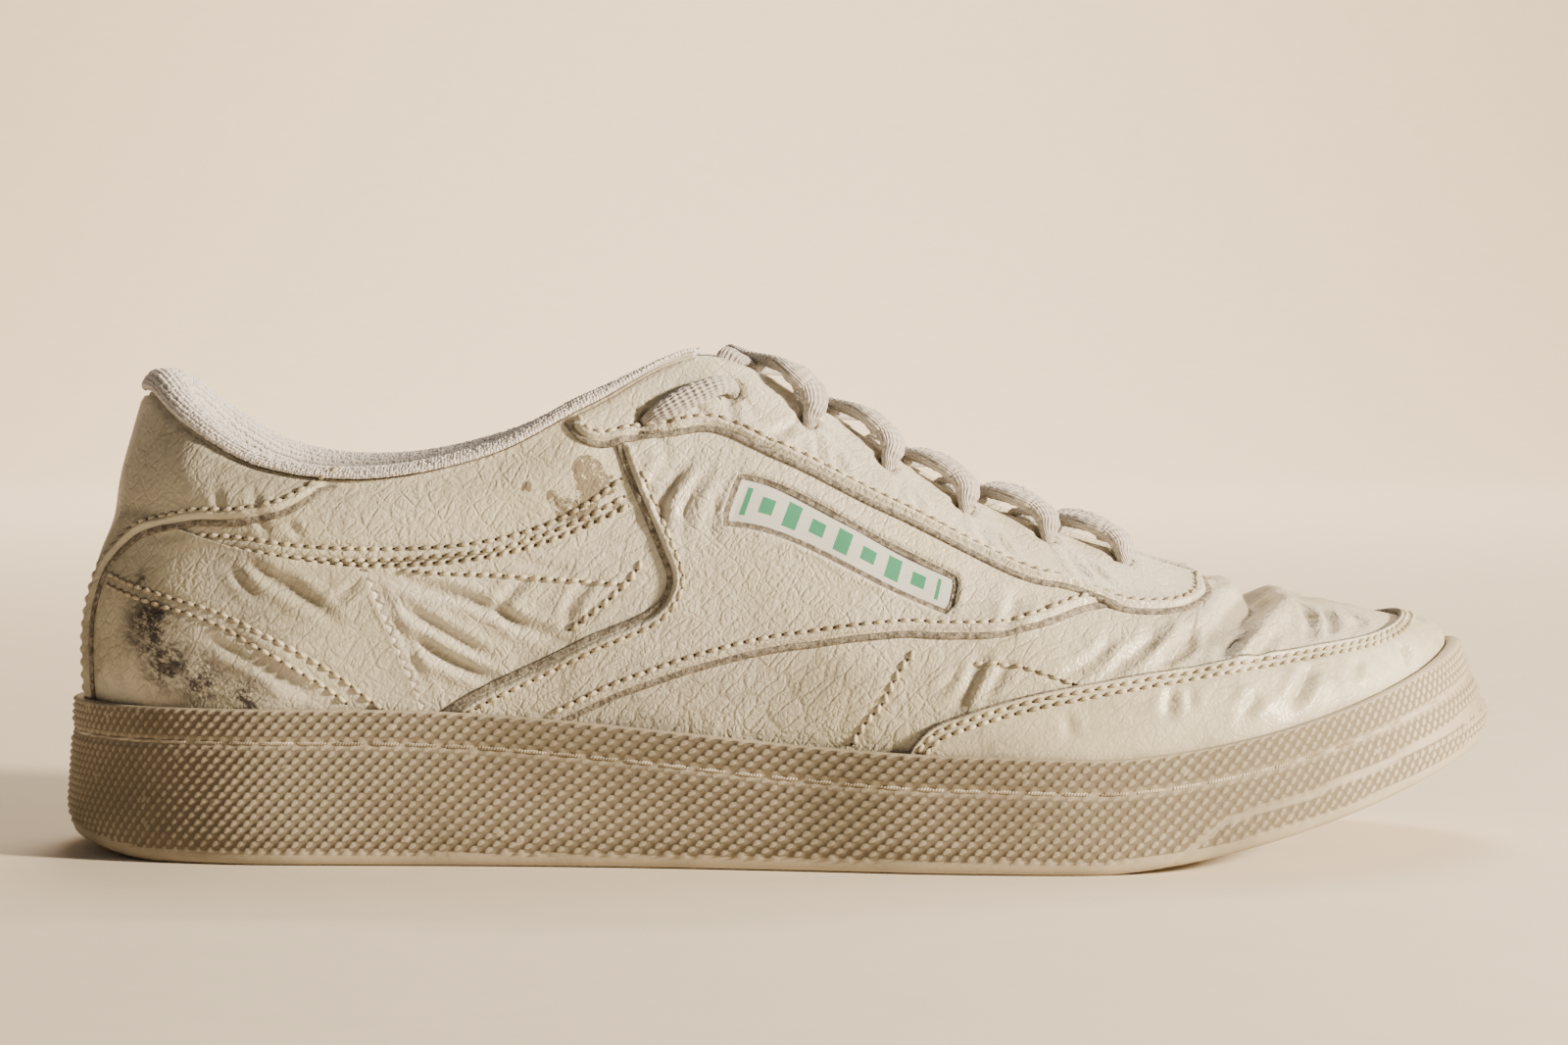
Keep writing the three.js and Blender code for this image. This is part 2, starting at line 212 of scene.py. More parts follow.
EYELETS = (10.6, 9.83, 9.1, 8.4, 7.72, 7.08, 6.4)
EYELET_DEPTH = 9.6
EYELET_RADIUS = 2.1


def top_rise(s):
    """Millimetres per share just below the top edge, at one station."""
    return float(np.linalg.norm(surface(s, 1.0) - surface(s, 0.85)) / 0.15)


def eyelet_place(s):
    """The place of the eyelet at station s, a fixed distance below the throat's edge."""
    return (s, 1 - EYELET_DEPTH / top_rise(s))


# ----------------------------------------------------------------------------------------------------
# Creases and swells of the worn leather
# ----------------------------------------------------------------------------------------------------

# Each crease: places along its bottom, depth and half width. A negative depth is a ridge.
FLEX_FOLD = [(9.9, 0.31), (10.3, 0.41), (10.75, 0.5), (11.5, 0.66), (12.7, 0.83), (14, 0.89)]
OUTER_CREASES = (
    ([(6.62, 0.7), (6.35, 0.64), (6.3, 0.56)], 0.9, 1.3),
    ([(6.75, 0.67), (6.5, 0.6), (6.42, 0.53)], 0.55, 1.1),
    ([(6.5, 0.72), (6.3, 0.68), (6.22, 0.63)], 0.8, 1.1),
    ([(6.95, 0.66), (6.72, 0.58), (6.6, 0.5)], 0.4, 1.1),
    ([(6.4, 0.86), (6.2, 0.82)], 0.5, 1.1),
    ([(6.55, 0.84), (6.5, 0.78)], 0.5, 1.0),
    ([(6.75, 0.85), (6.78, 0.78)], 0.4, 1.0),
    ([(7.05, 0.84), (6.95, 0.74)], 0.4, 1.0),
    ([(7.6, 0.82), (7.35, 0.75), (7.18, 0.71)], 0.7, 1.2),
    ([(7.64, 0.8), (7.45, 0.72)], 0.6, 1.1),
    ([(7.72, 0.81), (7.6, 0.7)], 0.7, 1.1),
    ([(7.8, 0.8), (7.78, 0.7)], 0.5, 1.0),
    ([(8.4, 0.8), (8.25, 0.7)], 0.5, 1.0),
    ([(8.45, 0.79), (8.4, 0.68)], 0.4, 1.0),
    ([(9.05, 0.78), (8.95, 0.66)], 0.5, 1.1),
    ([(9.12, 0.78), (9.12, 0.66)], 0.4, 1.0),
    ([(9.8, 0.78), (9.7, 0.64)], 0.5, 1.1),
    ([(9.9, 0.77), (9.9, 0.64)], 0.45, 1.0),
    ([(10.4, 0.52), (10.15, 0.42), (9.75, 0.33)], 1.0, 1.5),
    ([(10.98, 0.5), (10.6, 0.42), (10.3, 0.33)], 0.9, 1.4),
    ([(11.2, 0.47), (10.85, 0.39), (10.6, 0.33)], 0.6, 1.2),
    ([(10.0, 0.48), (9.75, 0.4), (9.3, 0.3)], 0.6, 1.4),
    ([(9.6, 0.45), (9.3, 0.35), (8.95, 0.28)], 0.5, 1.3),
    ([(8.4, 0.31), (8.2, 0.21), (8.05, 0.14)], 0.7, 1.3),
    ([(8.62, 0.32), (8.42, 0.24), (8.3, 0.19)], 0.45, 1.1),
    ([(8.2, 0.27), (8.02, 0.2)], 0.4, 1.1),
    ([(8.98, 0.54), (8.8, 0.46), (8.65, 0.39)], 0.9, 1.2),
    ([(9.1, 0.55), (8.92, 0.47), (8.75, 0.41)], 0.7, 1.1),
    ([(9.24, 0.56), (9.05, 0.48), (8.92, 0.43)], 0.4, 1.0),
    ([(12.5, 0.72), (12.05, 0.56), (11.4, 0.4)], 0.8, 1.3),
    ([(12.9, 0.68), (12.35, 0.54), (11.75, 0.42)], 0.8, 1.3),
    ([(13.3, 0.62), (12.9, 0.52), (12.4, 0.44)], 0.5, 1.2),
    ([(9.8, 0.25), (9.72, 0.2), (9.65, 0.14)], 0.6, 1.2),
    ([(9.92, 0.24), (9.84, 0.17)], 0.35, 1.0),
    ([(11.15, 0.26), (10.95, 0.18), (10.7, 0.08)], 0.8, 1.4),
    ([(10.5, 0.19), (10.25, 0.1)], 0.55, 1.3),
    ([(11.7, 0.24), (11.5, 0.12)], 0.4, 1.2),
    ([(12.45, 0.26), (12.4, 0.14), (12.3, 0.03)], 0.7, 1.3),
    ([(8.9, 0.17), (8.9, 0.08)], 0.35, 1.0),
    ([(3.05, 0.62), (3.4, 0.52), (3.7, 0.42)], 0.7, 1.2),
    ([(3.3, 0.6), (3.62, 0.48), (3.85, 0.36)], 0.5, 1.1),
    ([(3.75, 0.42), (4.0, 0.56)], 0.35, 1.0),
    ([(2.9, 0.58), (3.2, 0.46)], 0.4, 1.0),
    ([(2.75, 0.3), (3.2, 0.2), (3.6, 0.07)], 0.6, 1.2),
    ([(2.95, 0.33), (3.35, 0.2), (3.7, 0.06)], 0.4, 1.0),
    ([(4.35, 0.32), (4.7, 0.2), (5.0, 0.13)], 0.8, 1.3),
    ([(4.25, 0.46), (4.6, 0.33), (5.0, 0.2)], 0.6, 1.2),
    ([(4.2, 0.56), (4.75, 0.46), (5.2, 0.34), (5.5, 0.27)], 0.6, 1.2),
    ([(5.3, 0.52), (5.05, 0.42), (5.2, 0.3)], 0.4, 1.1),
    ([(5.75, 0.48), (5.55, 0.4), (5.5, 0.3)], 0.4, 1.1),
    ([(5.2, 0.56), (5.6, 0.5)], 0.3, 1.0),
    ([(3.0, 0.9), (3.1, 0.8), (3.2, 0.72)], 0.4, 1.0),
    ([(2.6, 0.86), (2.75, 0.76)], 0.3, 1.0),
    ([(3.35, 0.8), (3.5, 0.72)], 0.3, 0.9),
)
INNER_CREASES = OUTER_CREASES[4:]  # without the four beside the label

# Stitched seams that follow no panel's edge.
BAND_TOP = [(2.05, 0.605), (2.5, 0.665), (2.95, 0.7), (3.45, 0.696), (4.0, 0.685), (4.67, 0.666), (5.1, 0.665),
            (5.5, 0.678), (5.83, 0.705), (6.08, 0.735)]
BAND_LOW = [(2.2, 0.585), (2.65, 0.642), (3.1, 0.652), (3.78, 0.64), (4.45, 0.632), (5.0, 0.628), (5.4, 0.642),
            (5.75, 0.66), (6.08, 0.685)]
CHAIN = [(3.45, 0.628), (4.1, 0.612), (4.7, 0.603), (5.1, 0.607), (5.5, 0.622), (6.08, 0.655)]
COUNTER_ROW = [(1.2, 0.435), (1.83, 0.425), (2.4, 0.412), (2.73, 0.4), (3.0, 0.37), (3.25, 0.32), (3.48, 0.265),
               (3.7, 0.2), (3.88, 0.135), (4.05, 0.06), (4.2, 0.0)]
COUNTER_ROW_LOW = [(1.2, 0.4), (1.8, 0.39), (2.3, 0.378), (2.62, 0.365), (2.9, 0.335), (3.15, 0.28), (3.37, 0.225),
                   (3.58, 0.16), (3.76, 0.1), (3.94, 0.02)]
QUARTER_ROW = [(4.3, 0.585), (4.65, 0.555), (5.0, 0.53), (5.43, 0.488), (5.75, 0.46), (5.98, 0.44)]
QUARTER_ZIGZAG = [(6.12, 0.5), (5.95, 0.44), (5.72, 0.375), (5.5, 0.31)]
VAMP_ROW = [(8.3, 0.29), (8.62, 0.3), (8.83, 0.29), (9.1, 0.262)]
VAMP_ZIGZAG = [(7.9, 0.3), (7.78, 0.255), (7.68, 0.205), (7.58, 0.145), (7.45, 0.085), (7.33, 0.005)]
COUNTER_SHADOW = [(4.1, 0.58), (4.17, 0.47), (4.28, 0.36), (4.36, 0.27), (4.44, 0.17), (4.53, 0.06)]
SEAM_GROOVES = (
    (BAND_TOP, 0.45, 0.75), (BAND_LOW, 0.45, 0.75), (CHAIN, 0.35, 0.8), (COUNTER_ROW, 0.3, 0.7),
    (COUNTER_ROW_LOW, 0.3, 0.7), (QUARTER_ROW, 0.25, 0.7), (QUARTER_ZIGZAG, 0.3, 0.8), (VAMP_ROW, 0.2, 0.7),
    (VAMP_ZIGZAG, 0.25, 0.8), (COUNTER_SHADOW, 0.55, 0.9),
)


def lengths_along(points):
    """How far along a polyline each of its points lies."""
    return np.concatenate([[0], np.cumsum(np.linalg.norm(np.diff(points, axis=0), axis=1))])


def resampled(points, spacing):
    """A polyline's points at even steps of about the given spacing."""
    points = np.asarray(points, float)
    lengths = lengths_along(points)
    count = max(2, int(round(lengths[-1] / spacing)) + 1)
    marks = np.linspace(0, lengths[-1], count)
    return np.stack([np.interp(marks, lengths, column) for column in points.T], 1)


def smooth_path(places, steps=8):
    """An open smooth curve through given places."""
    knots = np.asarray(places, float)
    if len(knots) == 2:
        return resampled(knots, np.linalg.norm(knots[1] - knots[0]) / steps)
    padded = np.vstack([2 * knots[0] - knots[1], knots, 2 * knots[-1] - knots[-2]])
    t = np.linspace(0, 1, steps, endpoint=False)[:, None]
    runs = []
    for a, b, c, d in zip(padded, padded[1:], padded[2:], padded[3:]):
        runs.append(cubic(t, b, (c - a) / 2, c, (d - b) / 2))
    return np.vstack([*runs, knots[-1:]])


class Line:
    """A polyline in space that answers how near it points are."""

    def __init__(self, points):
        self.points = resampled(points, 0.15)
        self.tree = KDTree(len(self.points))
        for i, point in enumerate(self.points.tolist()):
            self.tree.insert(point, i)
        self.tree.balance()

    def near(self, points):
        """Each point's distance to the line, and how far along it, from 0 to 1, the nearest spot lies."""
        found = np.array([self.tree.find(point)[1:] for point in points.tolist()]).reshape(-1, 2)
        return found[:, 1], found[:, 0] / (len(self.points) - 1)


def crease_table():
    depth = bpy.context.scene.sneaker_upper.crease_depth
    table = [(FLEX_FOLD + other_side(FLEX_FOLD[:-1]), 2.2 * depth, 3.0)]
    table += [(places, deep * depth, wide) for places, deep, wide in OUTER_CREASES]
    table += [(other_side(places), deep * depth, wide) for places, deep, wide in INNER_CREASES]
    for places, deep, wide in SEAM_GROOVES:
        table += [(places, deep, wide), (other_side(places), deep, wide)]
    lines = []
    for places, deep, wide in table:
        path = smooth_path(places)
        lines.append((Line(surface(path[:, 0], path[:, 1])), deep, wide))
    return lines


def side_share(s):
    """The station counted from the heel along whichever side it lies on."""
    s = np.asarray(s) % COUNT
    return np.minimum(s, COUNT - s)


def soft_swell(s, v):
    """The broad puffs of the padded collar, the piped band, the vamp and the toe box."""
    k = side_share(s)
    collar_zone = smooth(k, 1.2, 2.4) * (1 - smooth(k, 5.7, 6.3))
    collar = 1.5 * collar_zone * bump(v, 0.84, 0.12)
    band = 0.35 * collar_zone * bump(v, np.interp(k, *zip(*BAND_TOP)) - 0.025, 0.02)
    vamp = 0.9 * smooth(k, 10.2, 11.5) * bump(v, 0.98, 0.07)
    toe = 0.9 * smooth(k, 11, 12.5) * bump(v, 0.66, 0.13)
    heel = 0.7 * (1 - smooth(k, 1.5, 3.2)) * bump(v, 0.3, 0.2)
    sink = -1.1 * (1 - smooth(k, 1.4, 3.4)) * bump(v, 0.6, 0.09)
    return collar + band + vamp + toe + heel + sink


# A crease's raised banks: height against its depth, and place and half width against its half width.
BANK = (0.42, 2, 0.9)
CREASE_REACH = 4  # half widths from a crease's bottom beyond which it does nothing
CREASE_END = (0.12, 3.2)  # share of the depth at a crease's ends, and how fast it grows from there


def relief(s, v, points, creases):
    """How far the worn leather stands out of the last: broad swells less the creases."""
    height = soft_swell(s, v)
    for line, deep, wide in creases:
        reach = CREASE_REACH * wide
        low, high = line.points.min(0) - reach, line.points.max(0) + reach
        near = np.flatnonzero(((points > low) & (points < high)).all(1))
        if len(near) == 0:
            continue
        distance, place = line.near(points[near])
        ends = np.minimum(1, CREASE_END[1] * np.minimum(place, 1 - place) + CREASE_END[0])
        bank_height, bank_place, bank_width = BANK
        trough = bump(distance, 0, wide) - bank_height * bump(distance, bank_place * wide, bank_width * wide)
        height[near] -= deep * ends * trough
    return height + puckers(points)


PUCKER_HEIGHT = 0.2
PUCKER_DIMPLE = 0.35  # depth of the ring pressed in round each eyelet
PUCKER_REACH = 14  # from an eyelet, beyond which it puckers nothing


def puckers(points):
    """Short folds that fan out from each eyelet, longest towards the sole."""
    height = np.zeros(len(points))
    for number, k in enumerate(EYELETS):
        for side in (-1, 1):
            place = eyelet_place(k)
            centre, _, up, normal = (row[0] for row in slopes([k if side < 0 else COUNT - k], [place[1]]))
            near = np.flatnonzero(((points - centre) ** 2).sum(1) < PUCKER_REACH**2)
            if len(near) == 0:
                continue
            away = points[near] - centre
            rise = unit(up)
            sideways = np.cross(normal, rise)
            reach = np.linalg.norm(away, axis=1)
            angle = np.arctan2(away @ sideways, away @ rise)
            down = 0.5 - 0.5 * np.cos(angle)
            fans = np.sin(11 * angle + 2.1 * number) + 0.7 * np.sin(7 * angle + 1.3 * number + side)
            fade = smooth(reach, EYELET_RADIUS, EYELET_RADIUS + 1.5) * (1 - smooth(reach, 4, 5 + 8 * down))
            height[near] += PUCKER_HEIGHT * fans * fade - PUCKER_DIMPLE * bump(reach, EYELET_RADIUS + 0.4, 1.3)
    return height


# ----------------------------------------------------------------------------------------------------
# Mesh helpers
# ----------------------------------------------------------------------------------------------------


def finish_mesh(bm, name, materials, attributes=()):
    """Writes a bmesh in millimetres as an object in metres, at the origin."""
    bmesh.ops.scale(bm, vec=(MM, MM, MM), verts=bm.verts)
    mesh = bpy.data.meshes.new(name)
    bm.to_mesh(mesh)
    bm.free()
    for label, values in attributes:
        layer = mesh.attributes.new(label, "FLOAT", "POINT")
        layer.data.foreach_set("value", np.asarray(values, np.float32))
    mesh.polygons.foreach_set("use_smooth", [True] * len(mesh.polygons))
    for material in materials:
        mesh.materials.append(material)
    piece = bpy.data.objects.new(name, mesh)
    bpy.context.collection.objects.link(piece)
    return piece


def settle(piece, slot, *nodes):
    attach(piece, ROOT)
    if nodes:
        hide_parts(*nodes)
    return piece


def coordinates(bm):
    return np.array([vert.co for vert in bm.verts])


def place_verts(bm, points):
    for vert, point in zip(bm.verts, points.tolist()):
        vert.co = point


def only(kind, items):
    """The items that are one kind of mesh element."""
    return [item for item in items if isinstance(item, kind)]


def grid_sheet(bm, columns, rows):
    """A flat grid of quads. Returns each vertex's place on it as two shares from 0 to 1."""
    bmesh.ops.create_grid(bm, x_segments=columns, y_segments=rows, size=0.5)
    shares = coordinates(bm)[:, :2] + 0.5
    return shares[:, 0], shares[:, 1]


def rolled(bm, points, gap=1e-3):
    """Moves a grid's vertices onto a shape that closes on itself, and joins the seam."""
    place_verts(bm, points)
    bmesh.ops.remove_doubles(bm, verts=bm.verts, dist=gap)


def joined_outwards(bm, points, values):
    """Places a grid's vertices, joins its seam, turns it outwards and returns the values that are left."""
    place_verts(bm, points)
    bmesh.ops.remove_doubles(bm, verts=bm.verts, dist=1e-3)
    bmesh.ops.recalc_face_normals(bm, faces=bm.faces)
    foremost = max(bm.faces, key=lambda face: face.calc_center_median().x)
    if foremost.normal.x < 0:
        bmesh.ops.reverse_faces(bm, faces=bm.faces)
    table = {tuple(np.round(point, 3)): value for point, value in zip(points, values)}
    return [table.get(tuple(np.round(vert.co, 3)), 0.0) for vert in bm.verts]


def capped(bm):
    """Closes any open ends and turns every face outwards."""
    rims = [edge for edge in bm.edges if edge.is_boundary]
    if rims:
        bmesh.ops.holes_fill(bm, edges=rims, sides=0)
    bmesh.ops.recalc_face_normals(bm, faces=bm.faces)


def rod(bm):
    """A small rounded rod of length, width and height 1, its ends dipping a little."""
    bmesh.ops.create_uvsphere(
        bm, u_segments=8, v_segments=6, radius=0.5, matrix=Matrix.Rotation(math.pi / 2, 4, "Y")
    )
    for vert in bm.verts:
        vert.co.z -= 1.4 * vert.co.x**2


def nub(bm):
    bmesh.ops.create_icosphere(bm, subdivisions=1, radius=0.5)


def repeated(make, middles, directions, ups, size):
    """A mesh of many copies of a small shape, each turned to its direction and way up. size may vary by copy."""
    bm = bmesh.new()
    make(bm)
    mesh = bpy.data.meshes.new("one")
    bm.to_mesh(mesh)
    bm.free()
    bm = bmesh.new()
    bm.from_mesh(mesh)
    bpy.data.meshes.remove(mesh)
    shape = coordinates(bm)
    total = len(shape) * len(middles)
    while len(bm.verts) < total:
        bmesh.ops.duplicate(bm, geom=bm.verts[:] + bm.edges[:] + bm.faces[:])
    bmesh.ops.delete(bm, geom=bm.verts[total:], context="VERTS")
    first = unit(directions)
    second = unit(np.cross(ups, first))
    axes = np.stack([first, second, np.cross(first, second)], 1) * np.reshape(size, (-1, 3, 1))
    place_verts(bm, (np.einsum("vk,nkx->nvx", shape, axes) + middles[:, None]).reshape(-1, 3))
    return bm


# ----------------------------------------------------------------------------------------------------
# Materials
# ----------------------------------------------------------------------------------------------------


class Nodes:
    """Short hand for building a material's or a group's nodes."""

    def __init__(self, tree):
        self.tree = tree

    def add(self, kind, sockets=None, **settings):
        node = self.tree.nodes.new(kind)
        for key, value in settings.items():
            setattr(node, key, value)
        for socket, value in (sockets or {}).items():
            self.feed(node.inputs[socket], value)
        return node

    def feed(self, socket, value):
        if isinstance(value, bpy.types.NodeSocket):
            self.tree.links.new(value, socket)
        else:
            socket.default_value = value

    def math(self, operation, a, b=0.0, clamp=False):
        node = self.add("ShaderNodeMath", {0: a, 1: b}, operation=operation, use_clamp=clamp)
        return node.outputs[0]

    def between(self, value, low, high):
        """0 below low, 1 above high."""
        node = self.add("ShaderNodeMapRange", {"Value": value, "From Min": low, "From Max": high})
        node.interpolation_type = "SMOOTHSTEP"
        return node.outputs["Result"]

    def blend(self, share, a, b, mode="MIX"):
        node = self.add("ShaderNodeMix", data_type="RGBA", blend_type=mode)
        self.feed(node.inputs[0], share)
        self.feed(node.inputs[6], a)
        self.feed(node.inputs[7], b)
        return node.outputs[2]

    def noise(self, vector, scale, detail=3.0, rough=0.5, distortion=0.0):
        sockets = {"Vector": vector, "Scale": scale, "Detail": detail}
        sockets.update({"Roughness": rough, "Distortion": distortion})
        return self.add("ShaderNodeTexNoise", sockets).outputs["Fac"]

    def attribute(self, name):
        return self.add("ShaderNodeAttribute", attribute_name=name).outputs["Fac"]

    def object_place(self):
        return self.add("ShaderNodeTexCoord").outputs["Object"]

    def stretched(self, vector, scale, rotation=(0, 0, 0)):
        """A vector turned, then scaled along its own axes."""
        sockets = {"Vector": vector, "Scale": [1 / share for share in scale], "Rotation": rotation}
        return self.add("ShaderNodeMapping", sockets, vector_type="TEXTURE").outputs["Vector"]

    def near(self, vector, spot, reach):
        """1 at a spot given in metres, falling to 0 at its reach."""
        gap = self.add("ShaderNodeVectorMath", {0: vector, 1: spot}, operation="DISTANCE").outputs["Value"]
        return self.math("SUBTRACT", 1.0, self.between(gap, reach * 0.15, reach), clamp=True)

    def bumped(self, height, strength, distance, normal=None):
        sockets = {"Height": height, "Strength": strength, "Distance": distance}
        if normal is not None:
            sockets["Normal"] = normal
        return self.add("ShaderNodeBump", sockets).outputs["Normal"]


def group(name, inputs, outputs, build):
    """A shader node group, built once: build(nodes, inputs) returns a value for each output."""
    tree = bpy.data.node_groups.get(name)
    if tree:
        return tree
    tree = bpy.data.node_groups.new(name, "ShaderNodeTree")
    for label, kind, default in inputs:
        socket = tree.interface.new_socket(name=label, in_out="INPUT", socket_type=kind)
        if default is not None:
            socket.default_value = default
    for label, kind in outputs:
        tree.interface.new_socket(name=label, in_out="OUTPUT", socket_type=kind)
    nodes = Nodes(tree)
    entry = nodes.add("NodeGroupInput")
    leave = nodes.add("NodeGroupOutput")
    results = build(nodes, entry.outputs)
    for (label, _), value in zip(outputs, results):
        nodes.feed(leave.inputs[label], value)
    return tree


FLOAT, COLOUR, VECTOR = "NodeSocketFloat", "NodeSocketColor", "NodeSocketVector"


# The grain's cells and its two nets of wrinkles: turn, cells per metre each way, width of the lines between.
GRAIN_CELLS = ((0.3, (950, 950, 700), 0.3), (0.8, (400, 250, 150), 0.16), (-0.7, (240, 160, 90), 0.1))


def grain_group():
    """Pebbled leather grain crossed by fine flex wrinkles. Its height, and a mask of the wrinkles' bottoms."""

    def build(nodes, given):
        place = nodes.object_place()
        drift = nodes.add("ShaderNodeTexNoise", {"Vector": place, "Scale": 150.0, "Detail": 3.0}).outputs["Color"]
        drift = nodes.add("ShaderNodeVectorMath", {0: drift, 1: (0.5, 0.5, 0.5)}, operation="SUBTRACT").outputs[0]
        drift = nodes.add("ShaderNodeVectorMath", {0: drift}, operation="SCALE")
        drift.inputs["Scale"].default_value = 0.0022
        bent = nodes.add("ShaderNodeVectorMath", {0: place, 1: drift.outputs[0]}, operation="ADD").outputs[0]
        cells = []
        for turn, stretch, line in GRAIN_CELLS:
            turned = nodes.stretched(bent, stretch, (0, turn, 0))
            cell = nodes.add("ShaderNodeTexVoronoi", {"Vector": turned, "Scale": 1.0})
            cell.feature = "DISTANCE_TO_EDGE"
            cells.append(nodes.between(cell.outputs["Distance"], 0.0, line))
        pebble = cells[0]
        where = nodes.between(nodes.noise(place, 42.0, 3.0), 0.4, 0.6)
        wrinkle = nodes.math("MULTIPLY", cells[1], nodes.math("MAXIMUM", cells[2], where))
        height = nodes.math("MULTIPLY", pebble, given["Pebbles"])
        height = nodes.math("ADD", height, nodes.math("MULTIPLY", wrinkle, given["Wrinkles"]))
        height = nodes.math("ADD", height, nodes.math("MULTIPLY", nodes.noise(place, 1900.0, 2.0), 0.12))
        raised = nodes.math("MULTIPLY", wrinkle, nodes.math("ADD", pebble, 0.35))
        bottoms = nodes.math("SUBTRACT", 1.0, raised, clamp=True)
        return height, bottoms

    inputs = (("Pebbles", FLOAT, 0.4), ("Wrinkles", FLOAT, 0.8))
    return group("Leather grain", inputs, (("Height", FLOAT), ("Bottoms", FLOAT)), build)


def grime_and_shade_group():
    """Blotchy darkening that grows towards the ground and the heel: soiling, with painted shade near the ground and
    at the heel.
    """

    def build(nodes, given):
        place = nodes.object_place()
        parts = nodes.add("ShaderNodeSeparateXYZ", {0: place})
        low = nodes.math("SUBTRACT", 1.0, nodes.between(parts.outputs["Z"], 0.02, 0.075), clamp=True)
        back = nodes.math("SUBTRACT", 1.0, nodes.between(parts.outputs["X"], -0.13, -0.03), clamp=True)
        blotch = nodes.between(nodes.noise(place, given["Scale"], 5.0, 0.62), 0.4, 0.72)
        reach = nodes.math("ADD", nodes.math("MULTIPLY", low, 0.5), nodes.math("MULTIPLY", back, 0.5))
        reach = nodes.math("ADD", reach, 0.3)
        mask = nodes.math("MULTIPLY", nodes.math("MULTIPLY", blotch, reach), given["Amount"], clamp=True)
        return (mask,)

    inputs = (("Scale", FLOAT, 45.0), ("Amount", FLOAT, 1.0))
    return group("Grime_and_shade", inputs, (("Mask", FLOAT),), build)


def weave_group():
    """Crossed yarns over the piece's own UV map. Height 0 to 1."""

    def build(nodes, given):
        uv = nodes.add("ShaderNodeUVMap").outputs["UV"]
        parts = nodes.add("ShaderNodeSeparateXYZ", {0: uv})
        across = nodes.math("MULTIPLY", parts.outputs["X"], given["Across"])
        up = nodes.math("MULTIPLY", parts.outputs["Y"], given["Up"])
        one = nodes.math("SINE", nodes.math("ADD", across, up))
        two = nodes.math("SINE", nodes.math("SUBTRACT", across, up))
        height = nodes.math("ADD", nodes.math("MULTIPLY", nodes.math("MULTIPLY", one, two), 0.5), 0.5)
        return (height,)

    inputs = (("Across", FLOAT, 400.0), ("Up", FLOAT, 400.0))
    return group("Crossed yarns", inputs, (("Height", FLOAT),), build)


def new_material(name, roughness, specular=0.5):
    material = bpy.data.materials.new(name)
    material.use_nodes = True
    nodes = Nodes(material.node_tree)
    shader = material.node_tree.nodes["Principled BSDF"]
    shader.inputs["Roughness"].default_value = roughness
    shader.inputs["Specular IOR Level"].default_value = specular
    return material, nodes, shader


def placed(nodes, tree, **sockets):
    node = nodes.add("ShaderNodeGroup", node_tree=tree)
    for label, value in sockets.items():
        nodes.feed(node.inputs[label], value)
    return node.outputs


def tone(colour):
    return (*colour[:3], 1.0)


# Where the coat is rubbed black at the heel and where it has flaked off, in metres, each with its reach.
SCUFFS = (
    ((-0.131, -0.034, 0.048), 0.013), ((-0.127, -0.036, 0.04), 0.012), ((-0.119, -0.038, 0.0365), 0.011),
    ((-0.109, -0.039, 0.0335), 0.009), ((-0.128, -0.033, 0.062), 0.006), ((-0.133, -0.029, 0.057), 0.006),
)
FLAKES = (
    ((-0.0398, -0.032, 0.0795), 0.0048), ((-0.0392, -0.033, 0.0755), 0.0048), ((-0.0358, -0.032, 0.077), 0.0038),
    ((-0.0522, -0.034, 0.0764), 0.0026), ((-0.044, -0.034, 0.0715), 0.0046), ((-0.0395, -0.034, 0.0715), 0.004),
    ((-0.047, -0.034, 0.0742), 0.0026), ((-0.034, -0.034, 0.0725), 0.003),
)


def spotted(nodes, place, spots):
    mask = 0.0
    for spot, reach in spots:
        mask = nodes.math("MAXIMUM", nodes.near(place, spot, reach), mask)
    return mask


